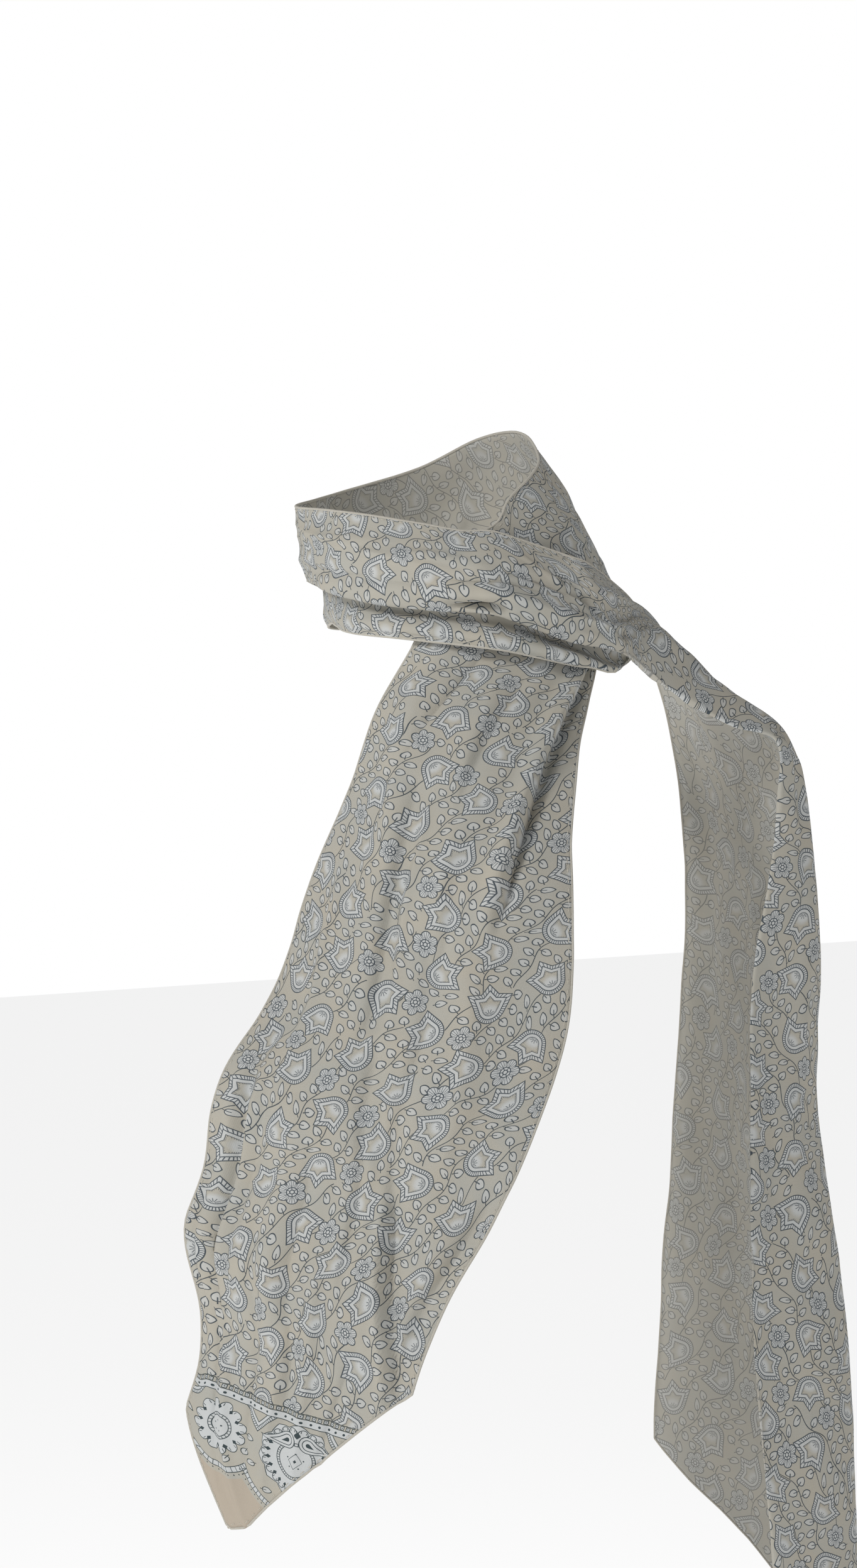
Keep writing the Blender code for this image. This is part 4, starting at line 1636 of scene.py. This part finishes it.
class ScarfPrintSettings(bpy.types.PropertyGroup):
    """Colours and strength of the print."""

    ground_cool: colour_setting("Ground, cool", "Ground colour of the cloth", 0.425, 0.418, 0.376)
    ground_warm: colour_setting("Ground, warm", "Warmer patches of the ground", 0.46, 0.428, 0.36)
    white_colour: colour_setting("White", "Fill of leaves and flowers", 0.60, 0.63, 0.65)
    line_colour: colour_setting("Lines", "Printed outlines", 0.038, 0.054, 0.070)
    border_colour: colour_setting("Border lines", "Outlines of the end borders", 0.018, 0.036, 0.042)
    margin_colour: colour_setting("Margin", "Bare margin past the border", 0.46, 0.40, 0.325)
    wrong_colour: colour_setting(
        "Wrong side", "What veils the print on the wrong side", 0.47, 0.45, 0.40
    )
    wrong_fade: share_setting(
        "Wrong side veil", "How much of the print the wrong side hides", 0.45
    )
    line_strength: share_setting("Line strength", "How dark the printed lines are", 0.93)
    white_strength: share_setting("White strength", "How white the fills are", 0.60)
    border_white_strength: share_setting(
        "Border white strength", "How white the fills of the border are", 0.72
    )
    hand_sway: FloatProperty(
        name="Hand sway", description="How far the drawing strays, in centimetres",
        default=0.75, min=0.0, max=2.0,
    )
    weave_strength: share_setting("Weave strength", "Strength of the weave's relief", 0.225)
    weave_depth: size_setting("Weave depth", "Depth of the weave's relief", 0.0006)


class ScarfSewingSettings(bpy.types.PropertyGroup):
    """Sizes and colours of the hems and their stitches."""

    roll_radius: size_setting("Roll radius", "Radius of the rolled hem", 0.0006, 0.0001)
    stitch_spacing: size_setting("Stitch spacing", "From one stitch to the next", 0.0045, 0.001)
    stitch_length: size_setting("Stitch length", "Length of one stitch", 0.0021, 0.0005)
    thread_radius: size_setting("Thread radius", "Radius of the thread", 0.00016, 0.00005)
    hem_colour: colour_setting("Hem", "Colour of the rolled hem", 0.56, 0.53, 0.46)
    thread_colour: colour_setting("Thread", "Colour of the hem's thread", 0.66, 0.62, 0.53)


class ScarfStageSettings(bpy.types.PropertyGroup):
    """The floor and the lights."""

    floor_height: FloatProperty(
        name="Floor height", description="Height of the pale floor", default=-1.1, unit="LENGTH"
    )
    key_power: FloatProperty(
        name="Key light", description="Power of the main light in watts", default=47.0, min=0.0
    )
    fill_power: FloatProperty(
        name="Fill light", description="Power of the fill light in watts", default=5.0, min=0.0
    )
    sky_strength: FloatProperty(
        name="Sky", description="Strength of the even light all round", default=0.31, min=0.0
    )


class SCARF_OT_front_tail(bpy.types.Operator):
    """Make the end of the scarf that hangs down the chest"""

    bl_idname = "scarf.front_tail"
    bl_label = "Front tail"

    def execute(self, context):
        scene = context.scene
        materials = cloth_materials(scene.scarf_print)
        piece = cloth_piece("front_tail_cloth", front_tail_surface(), scene.scarf_cloth, materials)
        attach(piece, BODY)
        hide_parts("front_tail")
        return {"FINISHED"}


class SCARF_OT_winding(bpy.types.Operator):
    """Make the scarf from the nape round the throat, over the shoulder and down the back"""

    bl_idname = "scarf.winding"
    bl_label = "Winding"

    def execute(self, context):
        scene = context.scene
        materials = cloth_materials(scene.scarf_print)
        piece = cloth_piece("winding_cloth", winding_surface(), scene.scarf_cloth, materials)
        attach(piece, BODY)
        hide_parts("nape_turn", "throat_wrap", "shoulder_run", "back_tail")
        return {"FINISHED"}


# Sewing: how fine the unevenness of the hem and the thread is; in centimetres, how far the
# stitches lie inside the edge and above the middle of the cloth; in metres, how far apart the
# hem's rings are
HEM_NOISE = 900.0
THREAD_NOISE = 1500.0
STITCH_INSET = 0.2
STITCH_LIFT = 0.035
HEM_STEP = 0.004


class SCARF_OT_sewing(bpy.types.Operator):
    bl_idname = "scarf.sewing"
    bl_label = "Hems and stitches"

    def execute(self, context):
        sewing = context.scene.scarf_sewing
        hem_material = plain_material("rolled_hem_cotton", sewing.hem_colour, HEM_NOISE)
        thread_material = plain_material("hem_thread", sewing.thread_colour, THREAD_NOISE)
        hem, stitches = rolled_hem_tree(), stitch_tree()
        shells = (
            ("front_tail", front_tail_surface()[0], FRONT_CUT),
            ("winding", winding_surface()[0], WINDING_CUT),
        )
        for name, grid, cut in shells:
            guide = polylines(f"{name}_edges", [edge for edge, _ in edge_runs(grid)])
            roll = made_by_nodes(
                f"{name}_hem", guide, hem, Roll_Radius=sewing.roll_radius, Step=HEM_STEP,
                Material=hem_material,
            )
            guide = polylines(f"{name}_stitch_lines", stitch_runs(grid, STITCH_INSET, STITCH_LIFT))
            sewn = made_by_nodes(
                f"{name}_stitches", guide, stitches, Spacing=sewing.stitch_spacing,
                Stitch_Length=sewing.stitch_length, Thread_Radius=sewing.thread_radius,
                Material=thread_material,
            )
            for piece in (roll, sewn):
                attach(piece, BODY)
            area = cut[0] * cut[1] * CUT_SHARE
        return {"FINISHED"}


WHITE = (1.0, 1.0, 1.0, 1.0)

# Lights: the place and width of each, and what they all look at
KEY_LIGHT = ((0.3, -2.6, 1.5), 0.8)
FILL_LIGHT = ((2.6, 0.9, 0.4), 2.0)
BACK_LIGHT = ((-1.2, 1.8, 1.2), 1.6)
LIT_PLACE = (0.0, 0.0, -0.2)

# Floor: half its width, its colour and its finish
FLOOR_HALF = 8.0
FLOOR_COLOUR = (0.9, 0.9, 0.9, 1.0)
FLOOR_FINISH = {
    "Base Color": FLOOR_COLOUR, "Roughness": 0.9, "Emission Color": WHITE, "Emission Strength": 0.60,
}


def soft_light(name, power, place, size):
    """A large soft light that looks at the scarf."""
    data = bpy.data.lights.new(name, "AREA")
    data.shape = "DISK"
    data.size = size
    data.energy = power
    light = placed(name, data)
    light.location = place
    away = Vector(place) - Vector(LIT_PLACE)
    light.rotation_euler = away.to_track_quat("Z", "Y").to_euler()


def studio_world(strength):
    """Even white light all round, with a white backdrop where it is seen straight on."""
    world = bpy.data.worlds.new("studio")
    world.use_nodes = True
    tree = world.node_tree
    lit = tree.nodes["Background"]
    lit.inputs["Strength"].default_value = strength
    lit.inputs["Color"].default_value = WHITE
    seen = add_node(tree, "ShaderNodeBackground", Color=WHITE)
    path = tree.nodes.new("ShaderNodeLightPath")
    both = tree.nodes.new("ShaderNodeMixShader")
    for place, socket in enumerate((path.outputs["Is Camera Ray"], lit.outputs[0], seen.outputs[0])):
        tree.links.new(socket, both.inputs[place])
    tree.links.new(both.outputs[0], tree.nodes["World Output"].inputs["Surface"])
    return world


def add_camera(context):
    """The camera, at the bearing, rise and distance that give the view wanted."""
    back = Vector((
        math.sin(CAMERA_BEARING) * math.cos(CAMERA_RISE),
        -math.cos(CAMERA_BEARING) * math.cos(CAMERA_RISE),
        math.sin(CAMERA_RISE),
    ))
    right = Vector((math.cos(CAMERA_BEARING), math.sin(CAMERA_BEARING), 0.0))
    up = back.cross(right)
    data = bpy.data.cameras.new("camera")
    data.sensor_fit = "VERTICAL"
    data.sensor_height = SENSOR_HEIGHT
    data.lens = CAMERA_LENS
    camera = placed("camera", data)
    turned = Matrix((right, up, back)).transposed().to_4x4()
    camera.matrix_world = Matrix.Translation(CAMERA_PLACE) @ turned
    context.scene.camera = camera


class SCARF_OT_stage(bpy.types.Operator):
    """Lay the pale floor, set the soft lights and the camera"""

    bl_idname = "scarf.stage"
    bl_label = "Stage"

    def execute(self, context):
        stage = context.scene.scarf_stage
        mesh = bpy.data.meshes.new("floor")
        half = FLOOR_HALF
        corners = [(-half, -half), (half, -half), (half, half), (-half, half)]
        mesh.from_pydata([(x, y, stage.floor_height) for x, y in corners], [], [(0, 1, 2, 3)])
        new_material("pale_floor", FLOOR_COLOUR, FLOOR_FINISH)
        mesh.materials.append(bpy.data.materials["pale_floor"])
        floor = placed("floor", mesh)
        soft_light("key", stage.key_power, *KEY_LIGHT)
        soft_light("fill", stage.fill_power, *FILL_LIGHT)
        soft_light("back_fill", stage.fill_power, *BACK_LIGHT)
        context.scene.world = studio_world(stage.sky_strength)
        context.scene.view_settings.view_transform = "Standard"
        add_camera(context)
        return {"FINISHED"}


class SCARF_PT_panel(bpy.types.Panel):
    """The scarf's pieces and sizes"""

    bl_label = "Printed cotton scarf"
    bl_idname = "SCARF_PT_panel"
    bl_space_type = "VIEW_3D"
    bl_region_type = "UI"
    bl_category = "Scarf"

    def draw(self, context):
        layout = self.layout
        scene = context.scene
        for settings in (scene.scarf_cloth, scene.scarf_print, scene.scarf_sewing, scene.scarf_stage):
            for name in settings.bl_rna.properties.keys():
                if name not in ("rna_type", "name"):
                    layout.prop(settings, name)
        for operator in (SCARF_OT_front_tail, SCARF_OT_winding, SCARF_OT_sewing, SCARF_OT_stage):
            layout.operator(operator.bl_idname)


SETTINGS = {
    "scarf_cloth": ScarfClothSettings,
    "scarf_print": ScarfPrintSettings,
    "scarf_sewing": ScarfSewingSettings,
    "scarf_stage": ScarfStageSettings,
}
CLASSES = (
    *SETTINGS.values(),
    SCARF_OT_front_tail,
    SCARF_OT_winding,
    SCARF_OT_sewing,
    SCARF_OT_stage,
    SCARF_PT_panel,
)


def register():
    for cls in CLASSES:
        bpy.utils.register_class(cls)
    for name, cls in SETTINGS.items():
        setattr(bpy.types.Scene, name, PointerProperty(type=cls))


def unregister():
    for name in SETTINGS:
        delattr(bpy.types.Scene, name)
    for cls in reversed(CLASSES):
        bpy.utils.unregister_class(cls)


def main():
    register()
    bpy.ops.scarf.stage()
    bpy.ops.scarf.front_tail()
    bpy.ops.scarf.winding()
    bpy.ops.scarf.sewing()


if __name__ == "__main__":
    main()
